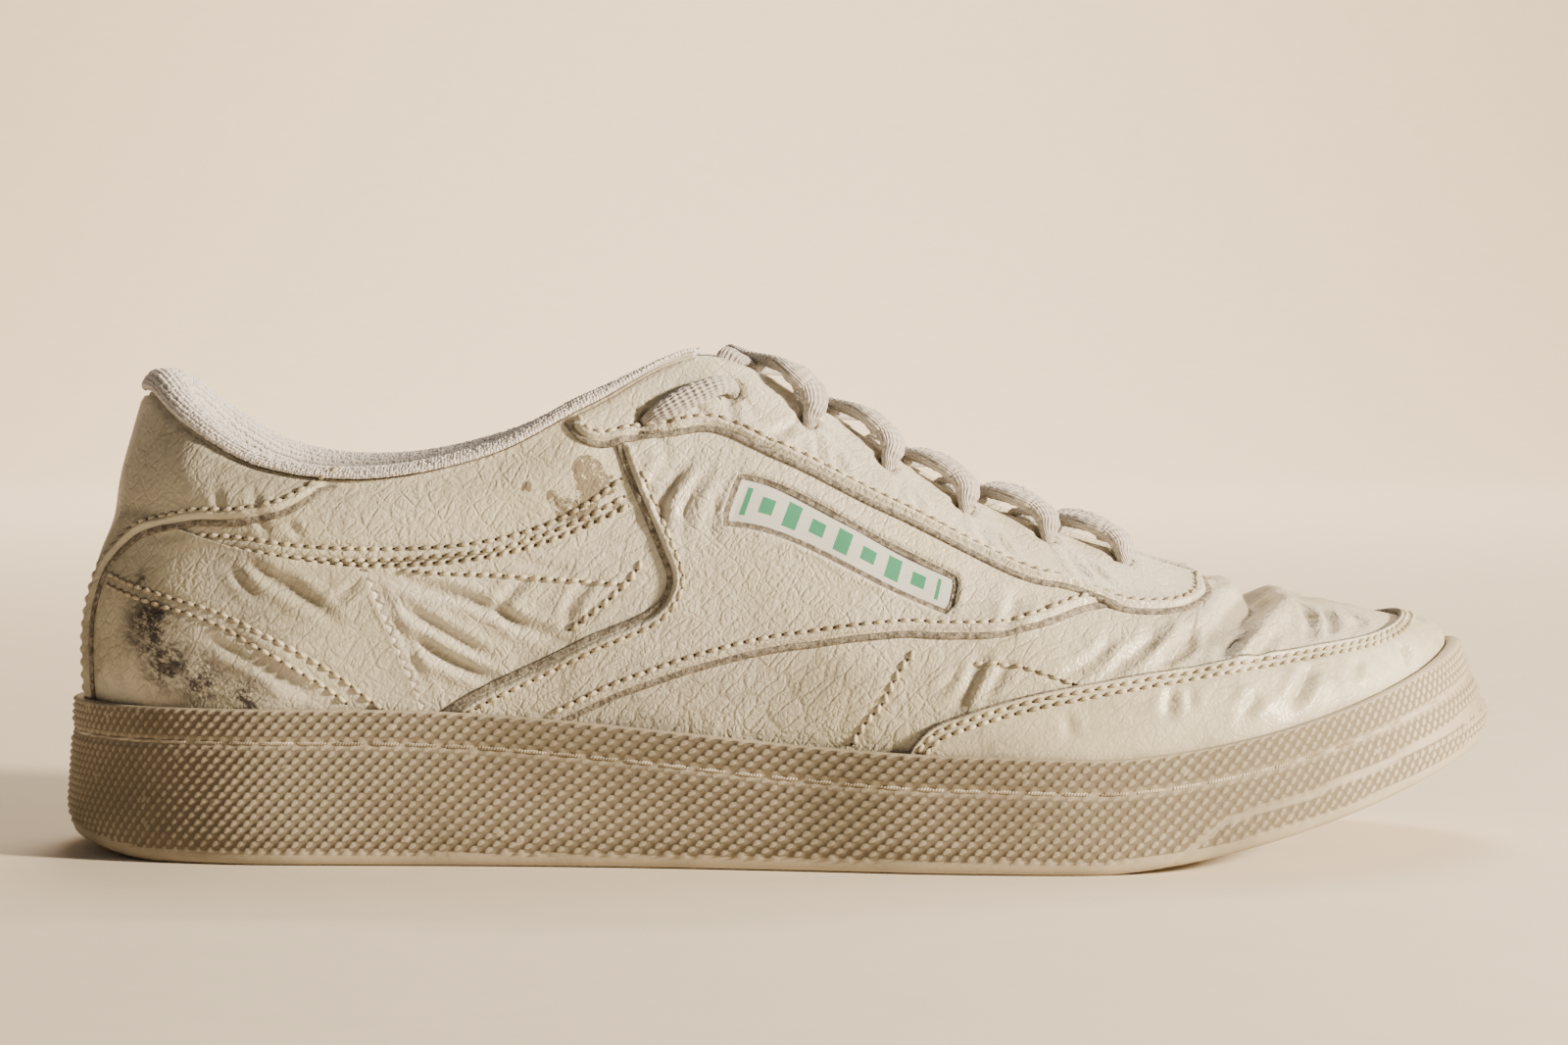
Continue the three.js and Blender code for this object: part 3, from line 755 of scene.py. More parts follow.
def leather_material(name="panel_leather", pebbles=0.35, wrinkles=0.5):
    """Coated white leather gone cream: grain, wrinkles, soiling and painted shade in the creases, scuffs, flaked
    coat, and cut edges whose dark band also paints shadow under lifted lips.
    """
    made = bpy.data.materials.get(name)
    if made:
        return made
    upper = bpy.context.scene.sneaker_upper
    material, nodes, shader = new_material(name, 0.45, 0.45)
    place = nodes.object_place()
    grain = placed(nodes, grain_group(), Pebbles=pebbles, Wrinkles=wrinkles)
    grime_and_shade = placed(nodes, grime_and_shade_group(), Scale=42.0, Amount=1.0)
    raw_and_shadow, crease_dirt_and_shade = nodes.attribute("raw_and_shadow"), nodes.attribute("crease_dirt_and_shade")

    patchy = nodes.between(nodes.noise(place, 17.0, 4.0, 0.6), 0.35, 0.68)
    coat = nodes.blend(patchy, tone(upper.leather_colour), tone(upper.aged_colour))
    dirt_and_shade = tone(upper.dirt_and_shade_colour)
    # Darkened by the blotchy mask: soiling, with painted shade near the ground and at the heel.
    coat = nodes.blend(nodes.math("MULTIPLY", grime_and_shade["Mask"], 0.55), coat, dirt_and_shade)
    settled_dirt_and_shade = nodes.math("ADD", 0.1, nodes.math("MULTIPLY", grime_and_shade["Mask"], 0.5))
    bottoms = nodes.math("MULTIPLY", grain["Bottoms"], settled_dirt_and_shade)
    coat = nodes.blend(bottoms, coat, dirt_and_shade)
    # Painted shade with soiling in the creases, along the stitch rows and round the eyelets, from their mark.
    valley_dirt_and_shade = nodes.between(crease_dirt_and_shade, 0.15, 1.4)
    coat = nodes.blend(nodes.math("MULTIPLY", valley_dirt_and_shade, 0.6), coat, dirt_and_shade)

    rubbed = spotted(nodes, place, SCUFFS)
    smear = nodes.noise(nodes.stretched(place, (260, 260, 420), (0, 0.5, 0)), 1.0, 6.0, 0.8)
    rubbed = nodes.math("MULTIPLY", rubbed, nodes.math("ADD", nodes.between(smear, 0.4, 0.56), 0.2))
    coat = nodes.blend(nodes.math("MULTIPLY", rubbed, 1.3, clamp=True), coat, tone(upper.scuff_colour))

    flake = nodes.between(nodes.noise(place, 520.0, 4.0, 0.7, 0.4), 0.3, 0.6)
    flake = nodes.between(nodes.math("MULTIPLY", spotted(nodes, place, FLAKES), flake), 0.28, 0.33)
    coat = nodes.blend(flake, coat, tone(upper.bare_colour))

    fibre = nodes.noise(place, 900.0, 3.0, 0.7)
    # Dark cut edge with fibres; along lip edges this band also paints the shadow under the lifted lip.
    fray_and_shadow = nodes.math("ADD", raw_and_shadow, nodes.math("MULTIPLY", nodes.math("SUBTRACT", fibre, 0.5), 0.5))
    fray_and_shadow = nodes.between(fray_and_shadow, 0.38, 0.6)
    edge = nodes.blend(nodes.between(fibre, 0.35, 0.7), tone(upper.edge_and_shadow_colour), tone(upper.fibre_colour))
    colour = nodes.blend(fray_and_shadow, coat, edge)
    nodes.feed(shader.inputs["Base Color"], colour)

    gloss = nodes.math("ADD", nodes.math("MULTIPLY", grime_and_shade["Mask"], 0.3), 0.33)
    gloss = nodes.math("ADD", gloss, nodes.math("MULTIPLY", nodes.math("MAXIMUM", fray_and_shadow, flake), 0.5), clamp=True)
    nodes.feed(shader.inputs["Roughness"], gloss)
    height = nodes.math("MULTIPLY", grain["Height"], nodes.math("SUBTRACT", 1.0, fray_and_shadow))
    height = nodes.math("ADD", height, nodes.math("MULTIPLY", fray_and_shadow, nodes.math("MULTIPLY", fibre, 2.4)))
    height = nodes.math("SUBTRACT", height, nodes.math("MULTIPLY", flake, 0.8))
    nodes.feed(shader.inputs["Normal"], nodes.bumped(height, 0.6, 0.00035))
    return material


def rubber_material():
    """Off-white rubber gone grey-beige, darkened between the pebbles with packed soiling and painted shade, and a
    little in the stitched groove.
    """
    made = bpy.data.materials.get("pebbled_rubber")
    if made:
        return made
    sole = bpy.context.scene.sneaker_sole
    material, nodes, shader = new_material("pebbled_rubber", 0.62, 0.35)
    place = nodes.object_place()
    pit_dirt_and_shade = nodes.attribute("pit_dirt_and_shade")
    grime_and_shade = placed(nodes, grime_and_shade_group(), Scale=30.0, Amount=0.9)
    patchy = nodes.between(nodes.noise(place, 28.0, 5.0, 0.6), 0.35, 0.7)
    colour = nodes.blend(patchy, tone(sole.rubber_colour), tone(sole.worn_colour))
    colour = nodes.blend(nodes.math("MULTIPLY", grime_and_shade["Mask"], 0.5), colour, tone(sole.dirt_and_shade_colour))
    # Painted shade with packed soiling between the pebbles and in the stitched groove.
    packed_dirt_and_shade = nodes.math("MULTIPLY", nodes.between(pit_dirt_and_shade, 0.7, 1.1), 0.9)
    colour = nodes.blend(packed_dirt_and_shade, colour, tone(sole.dirt_and_shade_colour))
    nodes.feed(shader.inputs["Base Color"], colour)
    nodes.feed(shader.inputs["Roughness"], nodes.math("ADD", nodes.math("MULTIPLY", pit_dirt_and_shade, 0.3), 0.5))
    nodes.feed(shader.inputs["Normal"], nodes.bumped(nodes.noise(place, 900.0, 3.0, 0.6), 0.25, 0.0003))
    return material


def cloth_material(name, colour, dirt_and_shade, across, up, depth, dirtiness=0.5):
    """A woven or braided fabric whose yarns follow the piece's UV map."""
    made = bpy.data.materials.get(name)
    if made:
        return made
    material, nodes, shader = new_material(name, 0.9, 0.2)
    shader.inputs["Sheen Weight"].default_value = 0.25
    place = nodes.object_place()
    yarn = placed(nodes, weave_group(), Across=across, Up=up)["Height"]
    patchy = nodes.between(nodes.noise(place, 90.0, 4.0, 0.6), 0.35, 0.7)
    shade = nodes.blend(nodes.math("MULTIPLY", patchy, dirtiness), tone(colour), tone(dirt_and_shade))
    # Painted shade between the yarns, in the darker colour.
    gap_shade = nodes.math("SUBTRACT", 1.0, nodes.between(yarn, 0.05, 0.5), clamp=True)
    shade = nodes.blend(nodes.math("MULTIPLY", gap_shade, 0.4), shade, tone(dirt_and_shade))
    nodes.feed(shader.inputs["Base Color"], shade)
    fuzz = nodes.noise(place, 1500.0, 2.0, 0.6)
    height = nodes.math("ADD", yarn, nodes.math("MULTIPLY", fuzz, 0.5))
    nodes.feed(shader.inputs["Normal"], nodes.bumped(height, 0.7, depth))
    return material


def towelling_material():
    """Looped towelling, mauve-grey and matted, with painted shade between the loops."""
    made = bpy.data.materials.get("towelling")
    if made:
        return made
    trim = bpy.context.scene.sneaker_trim
    material, nodes, shader = new_material("towelling", 0.95, 0.15)
    shader.inputs["Sheen Weight"].default_value = 0.4
    place = nodes.object_place()
    loops = nodes.add("ShaderNodeTexVoronoi", {"Vector": place, "Scale": 1150.0}).outputs["Distance"]
    patchy = nodes.between(nodes.noise(place, 160.0, 4.0, 0.65), 0.36, 0.66)
    colour = nodes.blend(patchy, tone(trim.towelling_colour), tone(trim.towelling_matting_and_shade))
    # Painted shade between the loops.
    gap_shade = nodes.math("MULTIPLY", nodes.between(loops, 0.3, 0.8), 0.5)
    colour = nodes.blend(gap_shade, colour, tone(trim.towelling_matting_and_shade))
    nodes.feed(shader.inputs["Base Color"], colour)
    nodes.feed(shader.inputs["Normal"], nodes.bumped(nodes.math("MULTIPLY", loops, -1.0), 0.8, 0.0006))
    return material


def thread_material(name, colour, shade):
    made = bpy.data.materials.get(name)
    if made:
        return made
    material, nodes, shader = new_material(name, 0.6, 0.4)
    place = nodes.object_place()
    patchy = nodes.between(nodes.noise(place, 70.0, 4.0, 0.6), 0.35, 0.65)
    nodes.feed(shader.inputs["Base Color"], nodes.blend(patchy, tone(colour), tone(shade)))
    twist = nodes.noise(nodes.stretched(place, (2600, 900, 2600), (0, 0.6, 0)), 1.0, 1.0)
    nodes.feed(shader.inputs["Normal"], nodes.bumped(twist, 0.6, 0.0002))
    return material


def plain_material(name, colour, roughness, grain=600.0, depth=0.0002, mottling=0.28):
    """A matt finish with a little mottling, for what is hardly seen."""
    made = bpy.data.materials.get(name)
    if made:
        return made
    material, nodes, shader = new_material(name, roughness, 0.3)
    place = nodes.object_place()
    patchy = nodes.between(nodes.noise(place, 60.0, 4.0, 0.6), 0.3, 0.7)
    darker = tuple((1 - mottling) * channel for channel in colour[:3])
    nodes.feed(shader.inputs["Base Color"], nodes.blend(patchy, tone(colour), tone(darker)))
    nodes.feed(shader.inputs["Normal"], nodes.bumped(nodes.noise(place, grain, 3.0), 0.4, depth))
    return material


# ----------------------------------------------------------------------------------------------------
# Outer panels of the upper
# ----------------------------------------------------------------------------------------------------

BASE_DEPTH = 1.2  # the under layer's outer face, below the last's surface
FLAT = np.array((24.0, 64.0))  # size of the flat pattern per station and per whole height
RIM = (0.0, 0.25, 1.0, 1.6, 1.9, 2.5, 3.2, 3.9)  # distances from a panel's edge at which its section changes
WINDOW_RIM = (0.0, 0.25, 1.0, 1.5, 2.1)

# Height over the layer below, against the distance from the edge, for each kind of edge.
EDGES = {
    "lip": ((0, 0.3), (0.25, 0.6), (1.6, 0.62), (1.9, 1.45), (2.5, 1.75), (3.2, 1.1), (3.9, 1.2), (9, 1.1)),
    "thin": ((0, 0.7), (0.25, 1.45), (1.0, 1.3), (1.6, 0.8), (2.5, 1.2), (3.2, 0.75), (3.9, 1.15), (9, 1.1)),
    "tucked": ((0, 1.1), (9, 1.1)),
    "turned": ((0, 0.2), (0.25, 0.85), (1.6, 1.2), (9, 1.1)),
    "pinked": ((0, 0.5), (0.25, 1.0), (1.0, 1.2), (9, 1.1)),
}
# How far the dark cut-edge colour reaches in from each kind of edge; along lip edges that band also paints the
# shadow under the lifted lip.
RAW_AND_SHADOW_REACH = {"lip": 1.5, "thin": 0.7, "tucked": -1.0, "turned": -1.0, "pinked": 0.4}
SHEET = 1.1  # thickness of a panel away from its edges
SUNK = 0.35  # how far a panel's underside is sunk into the layer below
EDGE_ROW = 3.2  # from a panel's edge to its row of stitches
NEAR_ROW = 1.6
ROWS = {"lip": (EDGE_ROW,), "thin": (NEAR_ROW, EDGE_ROW), "tucked": (), "turned": (), "pinked": ()}

# Panels of the outer side: edges of given places, in order round the panel, each with its kind of edge.
STAY_LOW = [
    (5.72, 0.985), (5.82, 0.9), (6.0, 0.845), (6.2, 0.825), (6.55, 0.77), (6.8, 0.745), (7.1, 0.69), (7.4, 0.665),
    (8.2, 0.63), (8.68, 0.605), (9.12, 0.575), (9.4, 0.58), (9.62, 0.56), (9.83, 0.535), (10.1, 0.54),
    (10.5, 0.575), (10.95, 0.66), (11.5, 0.8), (12.2, 0.93), (12.9, 0.985),
]
STAY_TOP = [(12.9, 0.985), (12, 0.985), (10, 0.985), (8, 0.985), (7, 0.985), (6.4, 0.985), (5.72, 0.985)]
SADDLE_BACK = [
    (6.1, 0.86), (6.13, 0.735), (6.17, 0.645), (6.2, 0.58), (6.24, 0.495), (6.26, 0.445), (6.22, 0.405),
    (6.1, 0.365), (5.83, 0.325), (5.62, 0.29), (5.28, 0.21), (4.95, 0.125), (4.72, 0.05), (4.55, -0.02),
]
SADDLE_FOOT = [(4.55, -0.02), (5.0, -0.02), (5.42, -0.02)]
SADDLE_FRONT = [
    (5.42, -0.02), (5.78, 0.085), (6.05, 0.14), (6.3, 0.18), (6.58, 0.21), (6.88, 0.235), (7.2, 0.26),
    (7.53, 0.295), (7.88, 0.33), (8.12, 0.34), (8.5, 0.365), (8.78, 0.4), (9.12, 0.455), (9.45, 0.515), (9.8, 0.56),
]
SADDLE_TOP = [(9.8, 0.56), (9.4, 0.63), (8.6, 0.67), (7.6, 0.72), (6.9, 0.79), (6.5, 0.84), (6.1, 0.86)]
MUDGUARD_TOP = [
    (7.7, -0.02), (7.78, 0.045), (7.93, 0.105), (8.22, 0.155), (8.58, 0.205), (8.97, 0.25), (9.35, 0.285),
    (9.75, 0.31), (10.18, 0.33), (10.65, 0.345), (11.4, 0.36), (12.23, 0.36), (12.65, 0.37), (13.35, 0.395),
    (14, 0.405),
]
TAB_LOW = [
    (1.15, 0.425), (1.3, 0.48), (1.58, 0.56), (1.85, 0.605), (2.15, 0.645), (2.48, 0.695), (2.85, 0.735),
    (3.1, 0.77), (3.33, 0.81), (3.5, 0.87), (3.66, 0.94), (3.78, 0.985),
]
TAB_STRIP = [(1.02, -0.02), (1.05, 0.13), (1.03, 0.26), (1.07, 0.345), (1.15, 0.425)]
COUNTER_FRONT = [
    (4.02, 0.6), (4.08, 0.56), (4.16, 0.47), (4.24, 0.365), (4.31, 0.27), (4.39, 0.17), (4.47, 0.07), (4.5, -0.02),
]
COUNTER_TOP = [(0.9, 0.6), (1.6, 0.64), (2.4, 0.66), (3.2, 0.645), (4.02, 0.6)]
LABEL_WINDOW = [(6.93, 0.622), (8.4, 0.508), (8.24, 0.418), (6.75, 0.535)]


def mirrored(edges):
    return [(other_side(places), kind) for places, kind in reversed(edges)]


def panel_plan():
    """Every overlaid panel: name, its edges in order, its windows and the panels that it lies on."""
    toe = MUDGUARD_TOP + other_side(MUDGUARD_TOP[:-1])
    foot_line = [(s, -0.02) for s in (COUNT - 7.7, 18, 16, 14, 12, 10, 7.7)]
    tab_side = TAB_STRIP + TAB_LOW[1:]
    tab_top = [(s, 0.985) for s in (3.78, 2.6, 1.3, 0, -1.3, -2.6, -3.78)]
    tab_foot = [(-1.02, -0.02), (0, -0.02), (1.02, -0.02)]
    saddle = [(SADDLE_BACK, "lip"), (SADDLE_FOOT, "tucked"), (SADDLE_FRONT, "lip"), (SADDLE_TOP, "tucked")]
    stay = [(STAY_LOW, "lip"), (STAY_TOP, "turned")]
    counter = [
        (COUNTER_FRONT[::-1], "pinked"),
        (COUNTER_TOP[::-1], "tucked"),
        ([(0.9, 0.6), (0.8, 0.3), (0.8, -0.02)], "tucked"),
        ([(0.8, -0.02), (2.6, -0.02), (4.5, -0.02)], "tucked"),
    ]
    tab = [(tab_side, "lip"), (tab_top, "turned"), (across_heel(tab_side), "lip"), (tab_foot, "tucked")]
    return {
        "mudguard": ([(toe, "thin"), (foot_line, "tucked")], (), ()),
        "counter_outer": (counter, (), ()),
        "counter_inner": (mirrored(counter), (), ()),
        "side_panel_outer": (saddle, (LABEL_WINDOW,), ("counter_outer",)),
        "side_panel_inner": (mirrored(saddle), (), ("counter_inner",)),
        "eyestay_outer": (stay, (), ("side_panel_outer",)),
        "eyestay_inner": (mirrored(stay), (), ("side_panel_inner",)),
        "heel_tab": (tab, (), ("counter_outer", "counter_inner")),
    }


class Panel:
    """One overlaid piece of leather: its outline in places and in space, and its height over the last."""

    def __init__(self, name, edges, windows, below):
        self.name, self.windows, self.below = name, windows, below
        self.edges = [(self.traced(places, 1.2 if kind == "pinked" else 1.5), kind) for places, kind in edges]
        self.edges = [(self.pinked(path) if kind == "pinked" else path, kind) for path, kind in self.edges]
        self.outline = np.vstack([path[:-1] for path, _ in self.edges])
        self.lines = [(Line(surface(path[:, 0], path[:, 1])), kind) for path, kind in self.edges]
        self.window_lines = [self.loop_in_space(window) for window in windows]
        self.middle = self.outline[:, 0].mean()

    @staticmethod
    def pinked(path):
        """A path given small saw teeth."""
        points, _, _, normals = slopes(path[:, 0], path[:, 1])
        sideways = unit(np.cross(normals, np.gradient(points, axis=0)))
        return shifted(path, sideways, np.where(np.arange(len(path)) % 2, 0.45, -0.45))

    @staticmethod
    def traced(places, spacing=1.5):
        path = smooth_path(places, 14)
        points = surface(path[:, 0], path[:, 1])
        lengths = lengths_along(points)
        marks = np.linspace(0, lengths[-1], max(3, int(lengths[-1] / spacing) + 1))
        return np.stack([np.interp(marks, lengths, column) for column in path.T], 1)

    @staticmethod
    def loop_in_space(window):
        corners = np.array([*window, window[0]])
        path = resampled(corners, 0.02)
        return Line(surface(path[:, 0], path[:, 1]))

    def holds(self, s, v):
        """Whether each place lies inside the outline."""
        s = (np.asarray(s) - self.middle + TOE) % COUNT - TOE + self.middle
        a, b = self.outline, np.roll(self.outline, -1, 0)
        inside = np.zeros(len(s), bool)
        for (s0, v0), (s1, v1) in zip(a, b):
            if v0 == v1:
                continue
            crosses = (v0 > v) != (v1 > v)
            inside ^= crosses & (s < (s1 - s0) * (v - v0) / (v1 - v0) + s0)
        return inside

    def height(self, points):
        """Thickness over the layer below at points known to be on the panel, and its dark cut-edge band there,
        partly painted shadow.
        """
        height = np.full(len(points), SHEET)
        raw_and_shadow, row = np.zeros(len(points)), np.zeros(len(points))
        for line, kind in self.lines:
            distance, _ = line.near(points)
            at, levels = zip(*EDGES[kind])
            height += np.interp(distance, at, levels) - SHEET
            for stitched in ROWS[kind]:
                row = np.maximum(row, bump(distance, stitched, 0.45))
            raw_and_shadow = np.maximum(raw_and_shadow, 1 - smooth(distance, RAW_AND_SHADOW_REACH[kind] - 0.25, RAW_AND_SHADOW_REACH[kind] + 0.15))
        for line in self.window_lines:
            distance, _ = line.near(points)
            height -= 0.5 * (1 - smooth(distance, 1.1, 1.5)) - 0.3 * bump(distance, 2.0, 0.6)
            raw_and_shadow = np.maximum(raw_and_shadow, 1 - smooth(distance, 1.1, 1.5))
        return np.maximum(height, 0.3), raw_and_shadow, row


class Upper:
    """All the layers of the upper, so that each can lie on the ones below it."""

    def __init__(self):
        self.creases = crease_table()
        self.panels = {name: Panel(name, *plan) for name, plan in panel_plan().items()}

    def ground(self, s, v, points, below):
        """Height of the layers below over the last, with soft steps at their edges."""
        height = np.full(len(points), -BASE_DEPTH)
        for name in below:
            panel = self.panels[name]
            inside = panel.holds(s, v)
            gap = np.full(len(points), 1e3)
            for line, _ in panel.lines:
                gap = np.minimum(gap, line.near(points)[0])
            signed = np.where(inside, gap, -gap)
            height += SHEET * smooth(signed, -1.4, 0.8)
        return height

    def top(self, s, v, name):
        """Places in space on a panel's face (or the under layer's, for no name), with normals, cut-edge band and a
        mark of soiling and painted shade.
        """
        points, _, _, normals = slopes(s, v)
        worn = relief(s, v, points, self.creases)
        # Painted shade with soiling: how deep the leather is creased here, later used to darken it.
        dirt_and_shade = np.maximum(0, soft_swell(s, v) - worn)
        if name is None:
            height, raw_and_shadow = np.full(len(points), -BASE_DEPTH), np.zeros(len(points))
        else:
            panel = self.panels[name]
            thick, raw_and_shadow, row = panel.height(points)
            height = self.ground(s, v, points, panel.below) + thick
            # Painted shadow with soiling along the rows of stitches.
            dirt_and_shade = np.maximum(dirt_and_shade, 0.8 * row)
        return points + normals * (height + worn)[:, None], normals, raw_and_shadow, dirt_and_shade


def parallel_rings(ring, distances, outward=False):
    """A closed ring of places moved over the surface by each distance, towards its inside unless told otherwise."""
    points, _, _, normals = slopes(ring[:, 0], ring[:, 1])
    tangent = unit(np.roll(points, -1, 0) - np.roll(points, 1, 0))
    inward = unit(np.cross(normals, tangent))
    flat = ring * FLAT
    turning = (flat[:, 0] * np.roll(flat[:, 1], -1) - np.roll(flat[:, 0], -1) * flat[:, 1]).sum()
    if (turning < 0) != outward:
        inward = -inward
    closed = Line(np.vstack([points, points[:1]]))
    rings = []
    for distance in distances:
        moved = shifted(ring, inward, distance)
        if distance > 0:
            good = closed.near(surface(moved[:, 0], moved[:, 1]))[0] > 0.93 * distance
            index = np.arange(len(ring))
            if not good.all() and good.any():
                wrap = np.concatenate([index[good] - len(ring), index[good], index[good] + len(ring)])
                moved = np.stack([np.interp(index, wrap, np.tile(column[good], 3)) for column in moved.T], 1)
        rings.append(moved)
    return rings


def add_loop(bm, places):
    """A closed loop of edges through flat places, from a circle."""
    made = bmesh.ops.create_circle(bm, segments=len(places), radius=1.0)["verts"]
    for vert, (x, y) in zip(made, places * FLAT):
        vert.co = (x, y, 0)
    return made, sorted({edge for vert in made for edge in vert.link_edges}, key=lambda edge: edge.index)


def widen_loop(bm, verts, edges, places):
    """Extrudes a loop of edges and moves the new loop onto other places, one for each of the old."""
    order = {tuple(np.round(vert.co, 5)): i for i, vert in enumerate(verts)}
    made = bmesh.ops.extrude_edge_only(bm, edges=edges)["geom"]
    fresh = only(bmesh.types.BMVert, made)
    ordered = [None] * len(verts)
    for vert in fresh:
        ordered[order[tuple(np.round(vert.co, 5))]] = vert
    for vert, (x, y) in zip(ordered, places * FLAT):
        vert.co = (x, y, 0)
    outer = set(ordered)
    loop = [edge for edge in only(bmesh.types.BMEdge, made) if set(edge.verts) <= outer]
    return ordered, loop


def add_rings(bm, rings):
    """A strip of faces through rings of places. Returns the last ring's edges."""
    verts, edges = add_loop(bm, rings[0])
    for ring in rings[1:]:
        verts, edges = widen_loop(bm, verts, edges, ring)
    return edges


def hole_rings(place, radii, count=16):
    """Circles of the given radii round a place, measured over the surface."""
    s, v = place
    _, a, b, normal = slopes(np.array([s]), np.array([v]))
    first = unit(a)
    second = np.cross(normal, first)
    angles = np.linspace(0, 2 * math.pi, count, endpoint=False)
    directions = np.cos(angles)[:, None] * first + np.sin(angles)[:, None] * second
    return [shifted(np.tile([s, v], (count, 1)), directions, radius) for radius in radii]


def cut_at(bm, faces, levels, axis):
    """Cuts faces at each level across an axis: at the middle level first, then each half at its own levels."""
    if len(levels) == 0 or not faces:
        return
    half = len(levels) // 2
    point, normal = [0, 0, 0], [0, 0, 0]
    point[axis], normal[axis] = levels[half], 1
    edges = list({edge for face in faces for edge in face.edges})
    verts = list({vert for face in faces for vert in face.verts})
    made = bmesh.ops.bisect_plane(bm, geom=verts + edges + faces, dist=1e-4, plane_co=point, plane_no=normal)
    faces = only(bmesh.types.BMFace, made["geom"])
    is_low = [face.calc_center_median()[axis] < levels[half] for face in faces]
    cut_at(bm, [face for face, low in zip(faces, is_low) if low], levels[:half], axis)
    cut_at(bm, [face for face, low in zip(faces, is_low) if not low], levels[half + 1 :], axis)


def cut_into_grid(bm, step):
    """Cuts the unmarked faces by lines a step apart both ways, then removes the lines left over from the fill."""
    mark = bm.faces.layers.int["rim"]
    for axis in (0, 1):
        inner = [face for face in bm.faces if face[mark] == 0]
        spots = [vert.co[axis] for face in inner for vert in face.verts]
        levels = np.arange(math.ceil(min(spots) / step), math.floor(max(spots) / step) + 1) * step + 0.0137
        cut_at(bm, inner, levels.tolist(), axis)
    spare = []
    for edge in bm.edges:
        if len(edge.link_faces) != 2 or any(face[mark] for face in edge.link_faces):
            continue
        gap = edge.verts[0].co - edge.verts[1].co
        if abs(gap.x) > 1e-3 and abs(gap.y) > 1e-3:
            spare.append(edge)
    bmesh.ops.dissolve_edges(bm, edges=spare, use_verts=True)


def make_panel(upper, name, material, step):
    """Fills a panel's outline, cuts it into a fine grid, thickens it and lays it on the last."""
    panel = upper.panels[name]
    bm = bmesh.new()
    mark = bm.faces.layers.int.new("rim")
    fill_edges = list(add_rings(bm, parallel_rings(panel.outline, RIM)))
    hole_places = [eyelet_place(s) for s in EYELETS] if name.startswith("eyestay") else []
    if name.endswith("inner"):
        hole_places = [(COUNT - s, v) for s, v in hole_places]
    for place in hole_places:
        fill_edges += add_rings(bm, hole_rings(place, (EYELET_RADIUS, EYELET_RADIUS + 0.5, EYELET_RADIUS + 1.1)))
    for window in panel.windows:
        corners = np.array([*window, window[0]])
        path = resampled(corners * FLAT, 1.5)[:-1] / FLAT
        fill_edges += add_rings(bm, parallel_rings(path, WINDOW_RIM, outward=True))
    for face in bm.faces:
        face[mark] = 1
    bmesh.ops.triangle_fill(bm, use_beauty=True, edges=fill_edges, normal=(0, 0, 1))
    cut_into_grid(bm, step)
    bmesh.ops.delete(bm, geom=[vert for vert in bm.verts if not vert.link_faces], context="VERTS")
    bmesh.ops.recalc_face_normals(bm, faces=bm.faces)
    lower = set(bm.verts)
    bmesh.ops.extrude_face_region(bm, geom=bm.faces[:], use_keep_orig=True)
    bm.verts.ensure_lookup_table()
    flat = coordinates(bm)[:, :2] / FLAT
    s, v = flat[:, 0], flat[:, 1]
    face_points, normals, raw_and_shadow, crease_dirt_and_shade = upper.top(s, v, name)
    for place in hole_places:
        centre = surface(np.array([place[0]]), np.array([place[1]]))
        gap = np.linalg.norm(surface(s, v) - centre, axis=1)
        face_points -= normals * (0.5 * (1 - smooth(gap, EYELET_RADIUS, EYELET_RADIUS + 1.4)))[:, None]
        # Painted shade with soiling round the rim of each eyelet hole.
        crease_dirt_and_shade = np.maximum(crease_dirt_and_shade, 1.2 * (1 - smooth(gap, EYELET_RADIUS + 0.2, EYELET_RADIUS + 1.3)))
    is_lower = np.array([vert in lower for vert in bm.verts])
    ground = upper.ground(s, v, surface(s, v), panel.below) + relief(s, v, surface(s, v), upper.creases)
    under = surface(s, v) + normals * (ground - SUNK)[:, None]
    place_verts(bm, np.where(is_lower[:, None], under, face_points))
    raw_and_shadow = np.where(is_lower, 1.0 if panel.edges[0][1] != "turned" else 0.0, raw_and_shadow)
    bmesh.ops.recalc_face_normals(bm, faces=bm.faces)
    piece = finish_mesh(bm, name, [material], (("raw_and_shadow", raw_and_shadow), ("crease_dirt_and_shade", crease_dirt_and_shade)))
    return settle(piece, "leather")


# ----------------------------------------------------------------------------------------------------
# Settings
# ----------------------------------------------------------------------------------------------------


def colour_property(name, text, default):
    return FloatVectorProperty(name=name, description=text, default=default, size=3, min=0, max=1, subtype="COLOR")


def size_property(name, text, default, **limits):
    return FloatProperty(name=name, description=text, default=default, **limits)


class SneakerUpperSettings(bpy.types.PropertyGroup):
    crease_depth: size_property("Crease depth", "Depth of the worn creases", 1.6, min=0, max=3)
    panel_step: size_property("Panel mesh step", "Grid size of a panel, mm", 1.05, min=0.8)
    leather_colour: colour_property("Leather", "Coated leather where it is cleanest", (0.72, 0.68, 0.57))
    aged_colour: colour_property("Aged leather", "Coated leather gone cream", (0.63, 0.58, 0.43))
    # Also paints the shade in creases, along stitch rows, round eyelets, near the ground and at the heel.
    dirt_and_shade_colour: colour_property("Dirt", "Dirt in creases and near the ground", (0.22, 0.19, 0.145))
    scuff_colour: colour_property("Scuffs", "Black rubbing on the heel", (0.06, 0.05, 0.05))
    bare_colour: colour_property("Bare leather", "Under the flaked coat", (0.24, 0.20, 0.14))
    # Also paints the shadow under lifted lip edges.
    edge_and_shadow_colour: colour_property("Raw edge", "Cut edge of the leather", (0.11, 0.095, 0.075))
    fibre_colour: colour_property("Raw fibres", "Loose fibres on the cut edge", (0.36, 0.32, 0.26))


